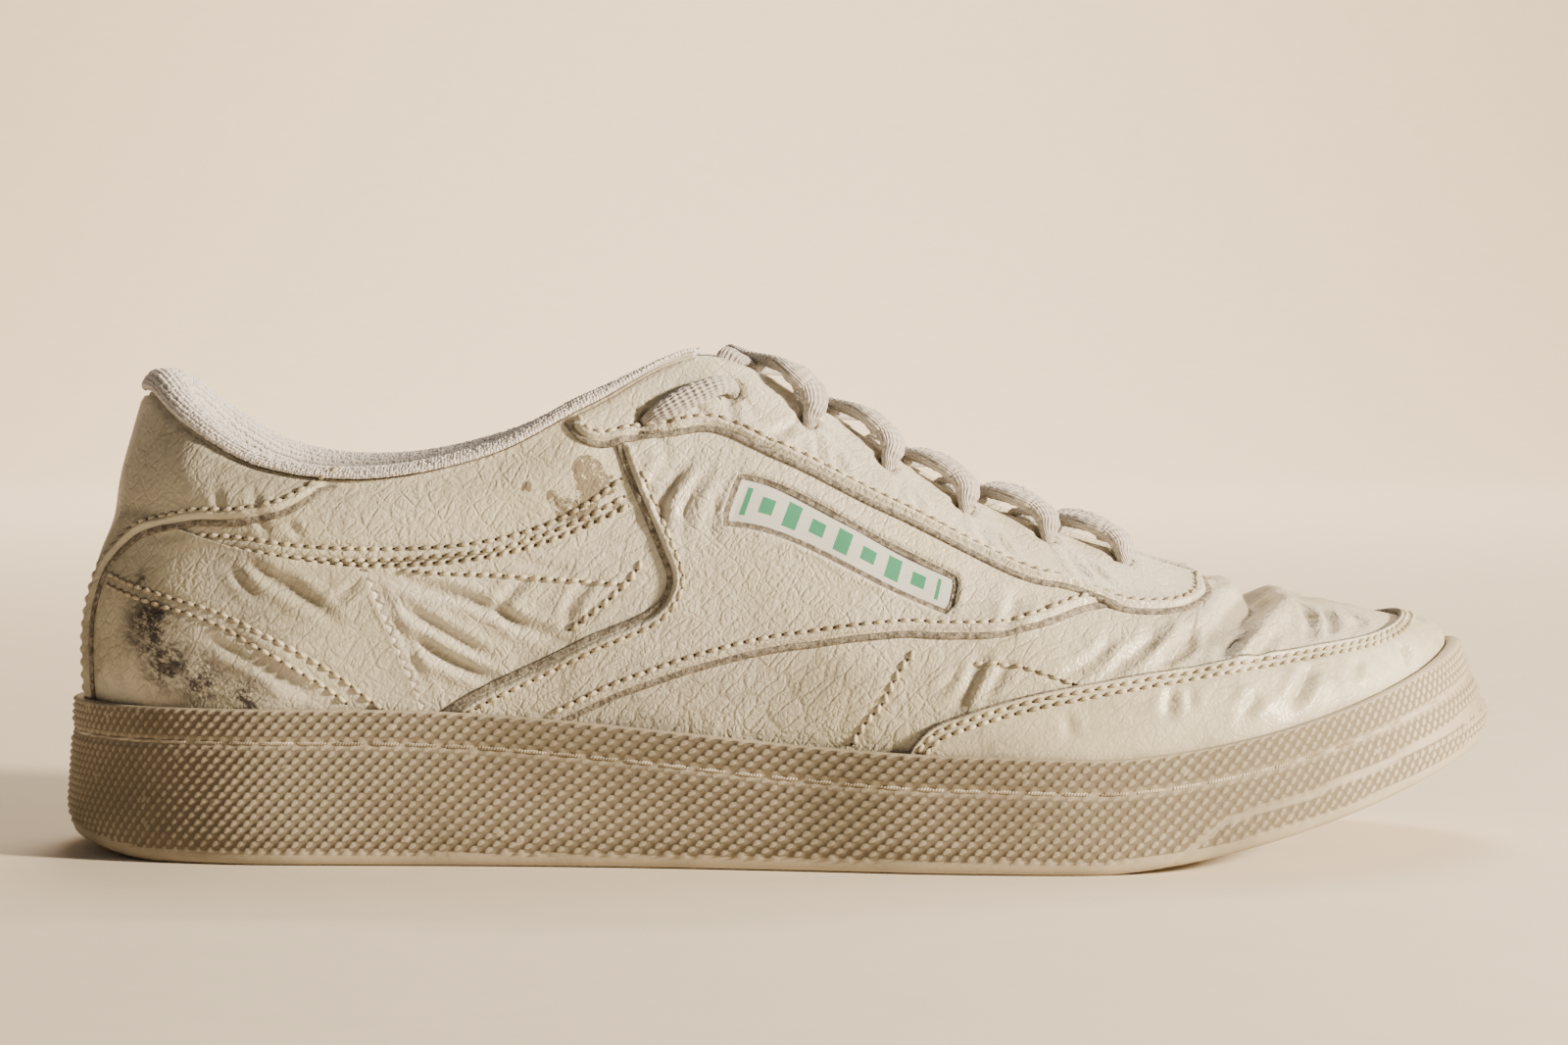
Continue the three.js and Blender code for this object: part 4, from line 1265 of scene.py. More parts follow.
class SneakerSoleSettings(bpy.types.PropertyGroup):
    pebble_pitch: size_property("Pebble pitch", "Between pebbles along the wall, mm", 2.7)
    pebble_height: size_property("Pebble height", "Pebbles and pits, mm", 0.6, min=0)
    groove_drop: size_property("Groove drop", "Stitched groove below the lip, mm", 6.3)
    rubber_colour: colour_property("Rubber", "Cupsole where it is cleanest", (0.47, 0.41, 0.31))
    worn_colour: colour_property("Worn rubber", "Cupsole where it is greyed", (0.35, 0.30, 0.22))
    # Also paints the shade between the pebbles, in the stitched groove, near the ground and at the heel.
    dirt_and_shade_colour: colour_property("Sole dirt", "Dirt between the pebbles", (0.13, 0.105, 0.07))


class SneakerTrimSettings(bpy.types.PropertyGroup):
    lace_width: size_property("Lace width", "Flat lace, mm", 6.2, min=3, max=10)
    lace_thickness: size_property("Lace thickness", "Flat lace, mm", 2.3, min=1, max=4)
    stitch_pitch: size_property("Stitch pitch", "Between stitches, mm", 2.6, min=1.5, max=6)
    lace_colour: colour_property("Lace", "Braided lace", (0.58, 0.53, 0.49))
    thread_colour: colour_property("Thread", "Sewing thread", (0.66, 0.59, 0.44))
    towelling_colour: colour_property("Towelling", "Collar lining", (0.42, 0.375, 0.36))
    # Used for the matting and for the painted shade between the loops.
    towelling_matting_and_shade: colour_property("Towelling shade", "Matted collar lining", (0.2, 0.17, 0.17))
    label_colour: colour_property("Label", "Woven side label", (0.78, 0.80, 0.78))
    label_pattern: colour_property("Label pattern", "Blocks woven into the side label", (0.01, 0.30, 0.16))


class SneakerStageSettings(bpy.types.PropertyGroup):
    lens: size_property("Lens", "Focal length, mm", 85.0, min=20, max=200)
    distance: size_property("Distance", "Camera to the shoe's middle, mm", 780.0)
    eye_height: size_property("Eye height", "Camera above the ground, mm", 105.0)
    key_power: size_property("Key light", "Power of the key light", 54.0, unit="POWER")
    floor_colour: colour_property("Floor", "Plain pale floor", (0.82, 0.73, 0.6))


SETTINGS = {
    "sneaker_upper": SneakerUpperSettings,
    "sneaker_sole": SneakerSoleSettings,
    "sneaker_trim": SneakerTrimSettings,
    "sneaker_stage": SneakerStageSettings,
}

# ----------------------------------------------------------------------------------------------------
# Operators
# ----------------------------------------------------------------------------------------------------


class SNEAKER_OT_stage(bpy.types.Operator):
    """Camera, lights, world and a plain pale floor that sweeps up behind the shoe"""

    bl_idname = "sneaker.stage"
    bl_label = "Stage"

    def execute(self, context):
        settings = context.scene.sneaker_stage
        self.floor(settings)
        self.lights(settings)
        data = bpy.data.cameras.new("camera")
        data.lens = settings.lens
        data.sensor_width = 36.0
        data.clip_start = 0.05
        camera = bpy.data.objects.new("camera", data)
        camera.location = (0, -settings.distance * MM, settings.eye_height * MM)
        camera.rotation_euler = (math.radians(90 - 2.76), 0, 0)
        context.collection.objects.link(camera)
        context.scene.camera = camera
        return {"FINISHED"}

    @staticmethod
    def floor(settings):
        wide, front, back, high = 12000, -16000, 3600, 4000
        bm = bmesh.new()
        near = [bm.verts.new((x, front, 0)) for x in (-wide, wide)]
        front_edge = bm.edges.new(near)
        floor = bmesh.ops.extrude_edge_only(bm, edges=[front_edge])["geom"]
        bmesh.ops.translate(bm, vec=(0, back - front, 0), verts=only(bmesh.types.BMVert, floor))
        corner = only(bmesh.types.BMEdge, floor)
        wall = bmesh.ops.extrude_edge_only(bm, edges=corner)["geom"]
        bmesh.ops.translate(bm, vec=(0, 0, high), verts=only(bmesh.types.BMVert, wall))
        bmesh.ops.bevel(bm, geom=corner, offset=1500, segments=32, profile=0.5, affect="EDGES", material=-1)
        bmesh.ops.recalc_face_normals(bm, faces=bm.faces)
        material = plain_material("pale_floor", settings.floor_colour, 0.85, 300.0, 0.00005, 0.03)
        finish_mesh(bm, "floor", [material])

    @staticmethod
    def lights(settings):
        def area(name, place, aim, size, power, colour):
            data = bpy.data.lights.new(name, "AREA")
            data.shape, data.size, data.energy, data.color = "DISK", size, power, colour
            light = bpy.data.objects.new(name, data)
            light.location = place
            light.rotation_euler = (Vector(aim) - Vector(place)).to_track_quat("-Z", "Y").to_euler()
            bpy.context.collection.objects.link(light)

        middle = (0, 0, 0.05)
        area("key", (1.05, -0.46, 0.42), middle, 0.14, settings.key_power, (1.0, 0.84, 0.62))
        area("fill", (-0.7, -1.1, 0.8), middle, 0.9, settings.key_power * 0.02, (0.95, 0.95, 1.0))
        area("top", (0.2, 0.7, 1.2), middle, 0.7, settings.key_power * 0.13, (1.0, 0.92, 0.8))
        area("backdrop", (0.0, 1.6, 1.7), (0, 2.7, 0.2), 1.2, settings.key_power * 2.2, (1.0, 0.8, 0.58))
        world = bpy.data.worlds.new("studio")
        world.use_nodes = True
        sky = world.node_tree.nodes["Background"]
        sky.inputs["Color"].default_value = (1.0, 0.92, 0.83, 1)
        sky.inputs["Strength"].default_value = 0.03
        bpy.context.scene.world = world


class SNEAKER_OT_sidewall(bpy.types.Operator):
    """Pebbled skin of the cupsole's wall, with its stitched groove, and the finish of the solid behind it"""

    bl_idname = "sneaker.sidewall"
    bl_label = "Sidewall"
    foot_rows, wall_rows, lip_rows = 6, 44, 6
    row_step = 0.7  # a quarter of the pebbles' period down the wall
    strip = 2.4  # smooth strip along the wall's foot
    pit_share = 0.35  # depth of the pits between the pebbles, against the pebbles' height

    def execute(self, context):
        sole = context.scene.sneaker_sole
        girth = 4 * int(self.perimeter() / sole.pebble_pitch)
        rows = self.foot_rows + self.wall_rows + self.lip_rows
        bm = bmesh.new()
        across, up = grid_sheet(bm, girth, rows)
        points, pit_dirt_and_shade = self.wall(across * COUNT, np.round(up * rows), girth, sole)
        pit_dirt_and_shade = joined_outwards(bm, points, pit_dirt_and_shade)
        settle(finish_mesh(bm, "sidewall", [rubber_material()], (("pit_dirt_and_shade", pit_dirt_and_shade),)), "rubber")
        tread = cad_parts["cupsole"]
        for slot in tread.material_slots:
            slot.material = rubber_material()
        return {"FINISHED"}

    @staticmethod
    def perimeter():
        ring = along(OUTLINE, np.linspace(0, COUNT, 400))
        return np.linalg.norm(np.diff(ring, axis=0), axis=1).sum()

    def wall(self, s, row, girth, sole):
        """The wall's section from under the bottom edge to inside the lip, with pebbles pressed into it."""
        x = along(OUTLINE, s)[:, 0]
        bottom, lip = underside_height(x), lip_height(x)
        proud = 0.45
        below = np.clip((self.foot_rows - row) / self.foot_rows, 0, 1)
        above = np.clip((row - self.foot_rows - self.wall_rows) / self.lip_rows, 0, 1)
        drop = np.clip(self.foot_rows + self.wall_rows - row, 0, self.wall_rows) * self.row_step
        drop = np.minimum(drop, lip - bottom - self.strip)
        height = np.where(below > 0, bottom + self.strip * (1 - smooth(below, 0, 0.8)) - 0.1, lip - drop)
        rise = np.clip((height - bottom) / (lip - bottom), 0, 1)
        lean = lip_inset(x) * np.interp(rise, (0, 0.22, 0.65, 1), (0, 0, 0.55, 1))
        inset = np.interp(height - bottom, (0, 0.5, 1.6, 6), (2.2, 1.1, 0.6, 0))
        inward = inset + lean - proud + 4 * smooth(below, 0.75, 1)
        height = height + 0.4 * smooth(below, 0.85, 1)
        inward = inward + (LIP_WALL + proud - 0.3) * smooth(above, 0.15, 0.85)
        height = height + 0.5 * np.sin(math.pi * above) - 0.6 * smooth(above, 0.8, 1)

        on_wall = (below == 0) & (above == 0)
        pattern = np.cos(math.pi / 2 * np.round(s / COUNT * girth)) * np.cos(math.pi / 2 * drop / self.row_step)
        groove = bump(drop, sole.groove_drop, 0.6)
        band = on_wall * (1 - smooth(groove, 0.1, 0.5)) * smooth(height - bottom, self.strip, self.strip + 0.4)
        parting_rise = np.interp(x, (70, 78, 88, 150), (-5, 1.5, 7.5, 8.5))
        parting = bump(height - bottom, parting_rise, 0.7) * smooth(x, 66, 76)
        band = band * (1 - smooth(parting, 0.2, 0.6))
        pebbles = np.maximum(pattern, self.pit_share * pattern)
        out = sole.pebble_height * pebbles * band - 0.8 * groove - 0.35 * parting
        # Mark of packed soiling and painted shade between the pebbles and in the stitched groove; the rubber
        # darkens where it passes 0.7, and the whole mark roughens it.
        pit_dirt_and_shade = (1 - np.maximum(pattern, 0)) * band + 0.8 * groove + 0.5 * parting
        pit_dirt_and_shade = np.maximum(pit_dirt_and_shade, 0.7 * smooth(above, 0.5, 1))
        pit_dirt_and_shade = np.maximum(pit_dirt_and_shade, 0.3 * smooth(below, 0.4, 0.8))
        at = along(OUTLINE, s) - outward(s) * (inward - out)[:, None]
        return np.concatenate([at, height[:, None]], 1), np.clip(pit_dirt_and_shade, 0, 1)


class SNEAKER_OT_sole_thread(bpy.types.Operator):
    """Long twisted stitches that hold the cupsole, in the groove round its wall"""

    bl_idname = "sneaker.sole_thread"
    bl_label = "Sole thread"

    def execute(self, context):
        sole = context.scene.sneaker_sole
        pitch, length, width = 7.3, 6.4, 1.0
        ring = along(OUTLINE, np.linspace(0, COUNT, 2000))
        lengths = lengths_along(ring)
        count = int(lengths[-1] / pitch)
        starts = np.linspace(0, lengths[-1], count, endpoint=False)
        beads = []
        for turn in np.linspace(0.04, 0.96, 11):
            marks = (starts + turn * length) % lengths[-1]
            places = np.interp(marks, lengths, np.linspace(0, COUNT, 2000))
            beads.append(self.beads(places, turn, width, sole))
        bm = repeated(rod, *(np.vstack(parts) for parts in zip(*beads)))
        material = thread_material("sole_thread", (0.62, 0.56, 0.45), (0.3, 0.25, 0.18))
        settle(finish_mesh(bm, "sole_thread", [material]), "thread")
        return {"FINISHED"}

    @staticmethod
    def beads(places, turn, width, sole):
        """One short slanted turn of a twisted thread at each place."""
        sink = 0.55 * abs(2 * turn - 1) ** 5

        def height(x):
            return lip_height(x) - sole.groove_drop

        def inset(x):
            lean = lip_inset(x) * np.interp(1 - sole.groove_drop / 26, (0.65, 1), (0.55, 1))
            return lean + sink - 0.05

        middle = on_outline(places, inset, height)
        ahead = on_outline(places + 0.02, inset, height)
        out = np.concatenate([outward(places), np.zeros((len(places), 1))], 1)
        direction = unit(ahead - middle)
        slant = direction + 0.75 * np.cross(out, direction)
        size = np.tile((1.25 * width, 0.62 * width, 0.9 * width), (len(places), 1))
        return middle, slant, out, size


class SNEAKER_OT_under_layer(bpy.types.Operator):
    """The upper's under layer: vamp, toe box, quarters and lining as one hollow shell"""

    bl_idname = "sneaker.under_layer"
    bl_label = "Under layer"
    wall = 1.1

    def execute(self, context):
        upper = Upper()
        leather = leather_material("quarter_leather", 0.3, 0.55)
        self.sheet(upper, "under_layer", (COUNT * 28, 112), 0.06, 0, leather)
        lining = plain_material("lining_cloth", (0.52, 0.48, 0.43), 0.9, 1400.0, 0.0004)
        self.sheet(upper, "lining", (COUNT * 10, 48), 0.0, self.wall, lining)
        return {"FINISHED"}

    def sheet(self, upper, name, size, turn_in, inward, material):
        """A sheet from the tray's floor up to the top edge, and, if it turns in there, a little way down inside."""
        bm = bmesh.new()
        across, up = grid_sheet(bm, *size)
        skirt_end, top_start = 0.07, 1 - turn_in
        s, v = across * COUNT, np.clip((up - skirt_end) / (top_start - skirt_end), 0, 1)
        inside = np.clip((up - top_start) / max(turn_in, 1e-6), 0, 1) if turn_in else np.zeros(len(up))
        lowered = v - 0.05 * smooth(inside, 0.35, 1) - (0.03 if inward else 0) * v
        points, normals, _, crease_dirt_and_shade = upper.top(s, lowered, None)
        points = points - normals * (inward + self.wall * smooth(inside, 0, 0.35))[:, None]
        drop = np.clip(1 - up / skirt_end, 0, 1)
        skirt = on_outline(
            s,
            lambda x: lip_inset(x) + ROOT_WALL + CLEARANCE + inward,
            lambda x: lip_height(x) - TRAY_DEPTH + CLEARANCE,
        )
        points = points + (skirt - points) * smooth(drop, 0, 1)[:, None]
        # Painted shade: the under layer is darkened where it shows through the eyelet holes.
        for k in EYELETS:
            for side in (k, COUNT - k):
                centre = surface(*np.array([[side], [eyelet_place(k)[1]]]))
                gap = np.linalg.norm(surface(s, v) - centre, axis=1)
                crease_dirt_and_shade = np.maximum(crease_dirt_and_shade, 4 * (gap < EYELET_RADIUS + 1.2) * (1 - inside))
        crease_dirt_and_shade = joined_outwards(bm, points, crease_dirt_and_shade)
        attributes = (("raw_and_shadow", [0.0] * len(crease_dirt_and_shade)), ("crease_dirt_and_shade", crease_dirt_and_shade))
        settle(finish_mesh(bm, name, [material], attributes), "leather", *(() if inward else ("upper",)))


class SNEAKER_OT_panels(bpy.types.Operator):
    """Mudguard, heel counters, side panels, eyestays and heel tab, each cut, thickened and laid on the last"""

    bl_idname = "sneaker.panels"
    bl_label = "Outer panels"

    def execute(self, context):
        upper = Upper()
        step = context.scene.sneaker_upper.panel_step
        for name in upper.panels:
            make_panel(upper, name, self.leather(name), step)
        return {"FINISHED"}

    @staticmethod
    def leather(name):
        """The guard and the heel are smoother than the panels that flex."""
        if name == "mudguard":
            return leather_material("guard_leather", 0.15, 0.2)
        if name.startswith(("heel", "counter")):
            return leather_material("heel_leather", 0.25, 0.4)
        return leather_material()


class SNEAKER_OT_stitching(bpy.types.Operator):
    """Rows of stitches along the panels' edges and the seams of the quarter and the vamp, with dark nubs at their
    ends that paint the shade in the needle holes
    """

    bl_idname = "sneaker.stitching"
    bl_label = "Stitching"

    def execute(self, context):
        upper = Upper()
        self.pitch = context.scene.sneaker_trim.stitch_pitch
        for side in ("outer", "inner"):
            self.stitches, self.holes = [], []
            flip = other_side if side == "inner" else list
            for name, places, distance in self.edge_rows(side):
                self.edge_row(upper, name, flip(places), distance)
            for places, on, lean in self.seams(side):
                self.row(upper, smooth_path(flip(places), 10), on, lean)
            trim = context.scene.sneaker_trim
            material = thread_material("sewing_thread", trim.thread_colour, (0.33, 0.28, 0.2))
            thread = repeated(rod, *(np.vstack(parts) for parts in zip(*self.stitches)))
            settle(finish_mesh(thread, f"stitches_{side}", [material]), "thread")
            # Painted shade: small dark nubs at each stitch's end stand in for the needle holes.
            dark = plain_material("needle_hole_shade", (0.11, 0.09, 0.06), 0.95)
            holes = repeated(nub, *(np.vstack(parts) for parts in zip(*self.holes)))
            settle(finish_mesh(holes, f"needle_hole_shades_{side}", [dark]), "raw_edge")
        return {"FINISHED"}

    @staticmethod
    def edge_rows(side):
        """Panel, its edge and the row's distance from that edge."""
        return (
            (f"side_panel_{side}", SADDLE_BACK[1:], EDGE_ROW),
            (f"side_panel_{side}", SADDLE_FRONT, EDGE_ROW),
            (f"eyestay_{side}", STAY_LOW[:-1], EDGE_ROW),
            ("mudguard", MUDGUARD_TOP, NEAR_ROW),
            ("mudguard", MUDGUARD_TOP, EDGE_ROW),
            ("heel_tab", TAB_STRIP + TAB_LOW[1:], EDGE_ROW),
        )

    @staticmethod
    def seams(side):
        """Seams that follow no edge: places, the panel that they lie on, and how far the stitches lean."""
        counter = f"counter_{side}"
        return (
            (BAND_TOP, None, 0.0),
            (BAND_LOW, None, 0.0),
            (CHAIN, None, 0.4),
            (COUNTER_ROW, counter, 0.0),
            (COUNTER_ROW_LOW, counter, 0.0),
            (QUARTER_ROW, None, 0.25),
            (QUARTER_ZIGZAG, None, 0.6),
            (VAMP_ROW, None, 0.2),
            (VAMP_ZIGZAG, None, 0.6),
        )

    def edge_row(self, upper, name, places, distance):
        path = Panel.traced(places, 1.0)
        points, _, _, normals = slopes(path[:, 0], path[:, 1])
        tangent = unit(np.gradient(points, axis=0))
        sideways = unit(np.cross(normals, tangent))
        panel = upper.panels[name]
        moved = shifted(path, sideways, distance)
        back = shifted(path, -sideways, distance)
        if panel.holds(back[:, 0], back[:, 1]).sum() > panel.holds(moved[:, 0], moved[:, 1]).sum():
            moved = back
        self.row(upper, moved, name, 0.0)

    def row(self, upper, path, name, lean):
        points = surface(path[:, 0], path[:, 1])
        lengths = lengths_along(points)
        marks = np.arange(self.pitch / 2, lengths[-1], self.pitch)
        ends = []
        for offset in (-0.36, 0.0, 0.36):
            at = [np.interp(marks + offset * self.pitch, lengths, column) for column in path.T]
            ends.append(upper.top(*at, name)[:2])
        (starts, _), (middles, normals), (stops, _) = ends
        direction = unit(stops - starts)
        turned = unit(direction + lean * np.cross(normals, direction))
        size = np.tile((0.86 * self.pitch, 1.1, 1.0), (len(marks), 1))
        self.stitches.append((middles + 0.3 * normals, turned, normals, size))
        hole = np.tile((0.8, 0.8, 0.3), (len(marks), 1))
        self.holes.append((stops + 0.4 * direction + 0.02 * normals, direction, normals, hole))


class SNEAKER_OT_collar(bpy.types.Operator):
    """Padded towelling roll round the collar, with its facing down the inside"""

    bl_idname = "sneaker.collar"
    bl_label = "Collar lining"
    front = 6.93  # station of the roll's two ends
    profile = (
        (-2.6, 0.3), (0.1, 0.4), (0.5, 1.6), (-0.4, 3.6), (-3.0, 4.6), (-5.8, 3.9), (-7.9, 1.2), (-8.4, -4),
        (-7.7, -12), (-5.6, -21), (-3.5, -27), (-2.8, -26), (-2.7, -12),
    )

    def execute(self, context):
        columns, rows = 420, 64
        bm = bmesh.new()
        across, around = grid_sheet(bm, columns, rows)
        s = (across * 2 - 1) * self.front
        out, up = self.section(around)
        points = self.places(s, out, up)
        rolled(bm, points)
        capped(bm)
        roll = finish_mesh(bm, "collar_roll", [towelling_material()])
        settle(roll, "towelling", "collar_lining")
        self.loops()
        return {"FINISHED"}

    def section(self, around):
        knots = np.array([*self.profile, self.profile[0]], float)
        path = smooth_path(knots, 10)
        marks = np.linspace(0, 1, len(path))
        return np.interp(around, marks, path[:, 0]), np.interp(around, marks, path[:, 1])

    def places(self, s, out, up):
        """Points out from the upper's outer face and up past its top edge."""
        edge, _, rise, _ = slopes(s, np.ones_like(s))
        direction = unit(surface(s, np.ones_like(s)) - surface(s, np.full_like(s, 0.95)))
        v = np.clip(1 + np.minimum(up, 0) / np.linalg.norm(rise, axis=1), 0, 1)
        at, _, _, normals = slopes(s, v)
        x = edge[:, 0]
        fullness = (0.2 + 0.8 * smooth(-17 - x, 0, 26)) * (0.62 + 0.45 * smooth(-x, 100, 132))
        height = np.where(up > 0, np.maximum(up * fullness, 0.3), 0)
        lumps = 0.25 * np.sin(s * 9.1) * np.sin(out * 0.8 + s * 3) + 0.15 * np.sin(s * 23 + up)
        lumps = np.where(out < -2.7, lumps, 0)
        return at + normals * (out + lumps)[:, None] + direction * height[:, None]

    def loops(self):
        """Small terry loops over the part of the roll that shows."""
        random = np.random.default_rng(7)
        columns, rows = 520, 15
        s = np.repeat((np.linspace(-1, 1, columns)) * (self.front - 0.03), rows)
        around = np.tile(np.linspace(0.085, 0.55, rows), columns)
        s = s + random.normal(0, 0.004, len(s))
        around = around + random.normal(0, 0.004, len(s))
        points = self.places(s, *self.section(around))
        direction = self.places(s + 0.01, *self.section(around + 0.006)) - points
        up = np.tile((0.05, 0.02, 1.0), (len(s), 1))
        sizes = random.uniform(0.75, 1.2, (len(s), 1)) * (1.0, 0.7, 0.8)
        loops = finish_mesh(repeated(nub, points, direction, up, sizes), "collar_loops", [towelling_material()])
        settle(loops, "towelling")


class SNEAKER_OT_tongue(bpy.types.Operator):
    """Padded leather tongue under the throat"""

    bl_idname = "sneaker.tongue"
    bl_label = "Tongue"

    def execute(self, context):
        bm = bmesh.new()
        lengthways, around = grid_sheet(bm, 110, 64)
        turn = 2 * math.pi * around
        across = np.sign(np.cos(turn)) * np.abs(np.cos(turn)) ** 0.6
        rolled(bm, self.places(13.2 - 6.1 * lengthways, across, np.sin(turn), lengthways))
        capped(bm)
        leather = leather_material("tongue_leather", 0.35, 0.5)
        zeros = [0.0] * len(bm.verts)
        tongue = finish_mesh(bm, "tongue_pad", [leather], (("raw_and_shadow", zeros), ("crease_dirt_and_shade", zeros)))
        settle(tongue, "leather", "tongue")
        return {"FINISHED"}

    @staticmethod
    def places(k, across, thick, lengthways):
        """Across runs from -1 at the outer side to 1 at the inner side, thick from -1 below to 1 above."""
        cover, pad, wing, sag = 3.8, 4.2, 14.0, 2.0  # leather above it, its padding, its reach, its middle's drop
        fill = (1 - 0.6 * np.abs(across) ** 4) * np.interp(lengthways, (0, 0.06, 0.95, 1), (0.4, 1, 1, 0.45))
        depth = cover + pad / 2 * (1 - thick * fill)
        depth = depth + 0.25 * (thick > 0) * bump(np.abs(across), 0.3, 0.025)
        root = 9 * smooth(k, 12.3, 13.2)  # how far its front runs under the vamp
        side = np.where(across < 0, k, COUNT - k)
        share = np.clip((np.abs(across) - 0.5) / 0.5, 0.08, 1)
        rise = np.linalg.norm(surface(side, np.ones_like(k)) - surface(side, np.full_like(k, 0.85)), axis=1) / 0.15
        reach = np.maximum(np.minimum(wing, 0.3 * rise) * share, root)
        at, _, _, normals = slopes(side, 1 - reach / rise)
        tucked = at - normals * depth[:, None]
        t = np.clip(across + 0.5, 0, 1)[:, None]
        middle = surface(k, 1 - root / rise) * (1 - t) + surface(COUNT - k, 1 - root / rise) * t
        middle[:, 2] -= depth + (sag - cover) * (1 - root / 9)
        blend = smooth(np.abs(across), 0.3, 0.56)[:, None]
        return middle * (1 - blend) + tucked * blend


class SNEAKER_OT_footbed(bpy.types.Operator):
    """Footbed on the tray floor, a little dished and matted by the foot"""

    bl_idname = "sneaker.footbed"
    bl_label = "Footbed"

    def execute(self, context):
        bm = bmesh.new()
        across, reach = grid_sheet(bm, 224, 40)
        s = across * COUNT
        thickness = 3.4

        def inset(x):
            return lip_inset(x) + ROOT_WALL + 2.6

        low = on_outline(s, inset, lambda x: lip_height(x) - TRAY_DEPTH + 0.5)
        high = low + np.array([0, 0, thickness])
        middle = low.copy()
        middle[:, :2] = (low[:, :2] + on_outline(-s, inset, lip_height)[:, :2]) / 2
        share = np.abs(2 * reach - 1)
        inward = 1 - share**1.2
        points = np.where((reach < 0.5)[:, None], low, high)
        centre = middle + np.where(reach < 0.5, 0, thickness)[:, None] * np.array([0, 0, 1.0])
        points = points + (centre - points) * inward[:, None]
        rim = smooth(share, 0.7, 1.0)
        dish = np.where(reach > 0.5, 1.0 * (rim - 1) * smooth(inward, 0.0, 0.5), 0)
        points[:, 2] += dish + np.where(reach > 0.5, 0.8 * bump(share, 0.93, 0.06), 0)
        rolled(bm, points, 0.02)
        capped(bm)
        cover = cloth_material("footbed_cover", (0.46, 0.42, 0.35), (0.2, 0.17, 0.13), 900, 900, 0.0003, 0.8)
        uv = bm.loops.layers.uv.new("UVMap")
        for face in bm.faces:
            for loop in face.loops:
                loop[uv].uv = (loop.vert.co.x * 0.01, loop.vert.co.y * 0.01)
        pad = finish_mesh(bm, "footbed", [cover])
        settle(pad, "footbed", "insole")
        return {"FINISHED"}


class SNEAKER_OT_label(bpy.types.Operator):
    """Woven side label in its window, with a plain pattern of blocks"""

    bl_idname = "sneaker.label"
    bl_label = "Side label"

    def execute(self, context):
        upper = Upper()
        bm = bmesh.new()
        along_label, up = grid_sheet(bm, 96, 24)
        corners = np.array(LABEL_WINDOW)
        top = corners[0] + (corners[1] - corners[0]) * (along_label * 1.04 - 0.02)[:, None]
        foot = corners[3] + (corners[2] - corners[3]) * (along_label * 1.04 - 0.02)[:, None]
        place = foot + (top - foot) * (up * 1.12 - 0.06)[:, None]
        points, normals, _, _ = upper.top(place[:, 0], place[:, 1], None)
        sag = 0.25 + 0.12 * np.sin(along_label * 14)
        uv = bm.loops.layers.uv.new("UVMap")
        for face in bm.faces:
            for loop in face.loops:
                loop[uv].uv = (loop.vert.co.x + 0.5, loop.vert.co.y + 0.5)
        place_verts(bm, points + normals * sag[:, None])
        bmesh.ops.recalc_face_normals(bm, faces=bm.faces)
        label = finish_mesh(bm, "side_label", [self.material(context.scene.sneaker_trim)])
        solid = label.modifiers.new("cloth", "SOLIDIFY")
        solid.thickness = 0.35 * MM
        solid.offset = 0
        settle(label, "label")
        return {"FINISHED"}

    @staticmethod
    def material(trim):
        material, nodes, shader = new_material("woven_label", 0.55, 0.4)
        shader.inputs["Sheen Weight"].default_value = 0.2
        uv = nodes.add("ShaderNodeUVMap").outputs["UV"]
        parts = nodes.add("ShaderNodeSeparateXYZ", {0: uv})
        u, v = parts.outputs["X"], parts.outputs["Y"]
        cell = nodes.math("FRACT", nodes.math("MULTIPLY", u, 9.0))
        index = nodes.math("FLOOR", nodes.math("MULTIPLY", u, 9.0))
        tall = nodes.math("ABSOLUTE", nodes.math("SUBTRACT", v, 0.5))
        short = nodes.math("MODULO", index, 2.0)
        limit = nodes.math("SUBTRACT", 0.3, nodes.math("MULTIPLY", short, 0.12))
        inside = nodes.math("LESS_THAN", tall, limit)
        from_middle = nodes.math("ABSOLUTE", nodes.math("SUBTRACT", cell, 0.5))
        block = nodes.math("MULTIPLY", inside, nodes.math("LESS_THAN", from_middle, 0.27))
        within = nodes.math("MULTIPLY", nodes.math("GREATER_THAN", u, 0.06), nodes.math("LESS_THAN", u, 0.93))
        block = nodes.math("MULTIPLY", block, within)
        yarn = placed(nodes, weave_group(), Across=520.0, Up=95.0)["Height"]
        colour = nodes.blend(block, tone(trim.label_colour), tone(trim.label_pattern))
        # Painted shade between the yarns.
        gap_shade = nodes.math("MULTIPLY", nodes.math("SUBTRACT", 1.0, yarn), 0.25)
        colour = nodes.blend(gap_shade, colour, (0.3, 0.3, 0.27, 1))
        nodes.feed(shader.inputs["Base Color"], colour)
        height = nodes.math("ADD", yarn, nodes.math("MULTIPLY", block, 0.8))
        nodes.feed(shader.inputs["Normal"], nodes.bumped(height, 0.5, 0.0002))
        return material


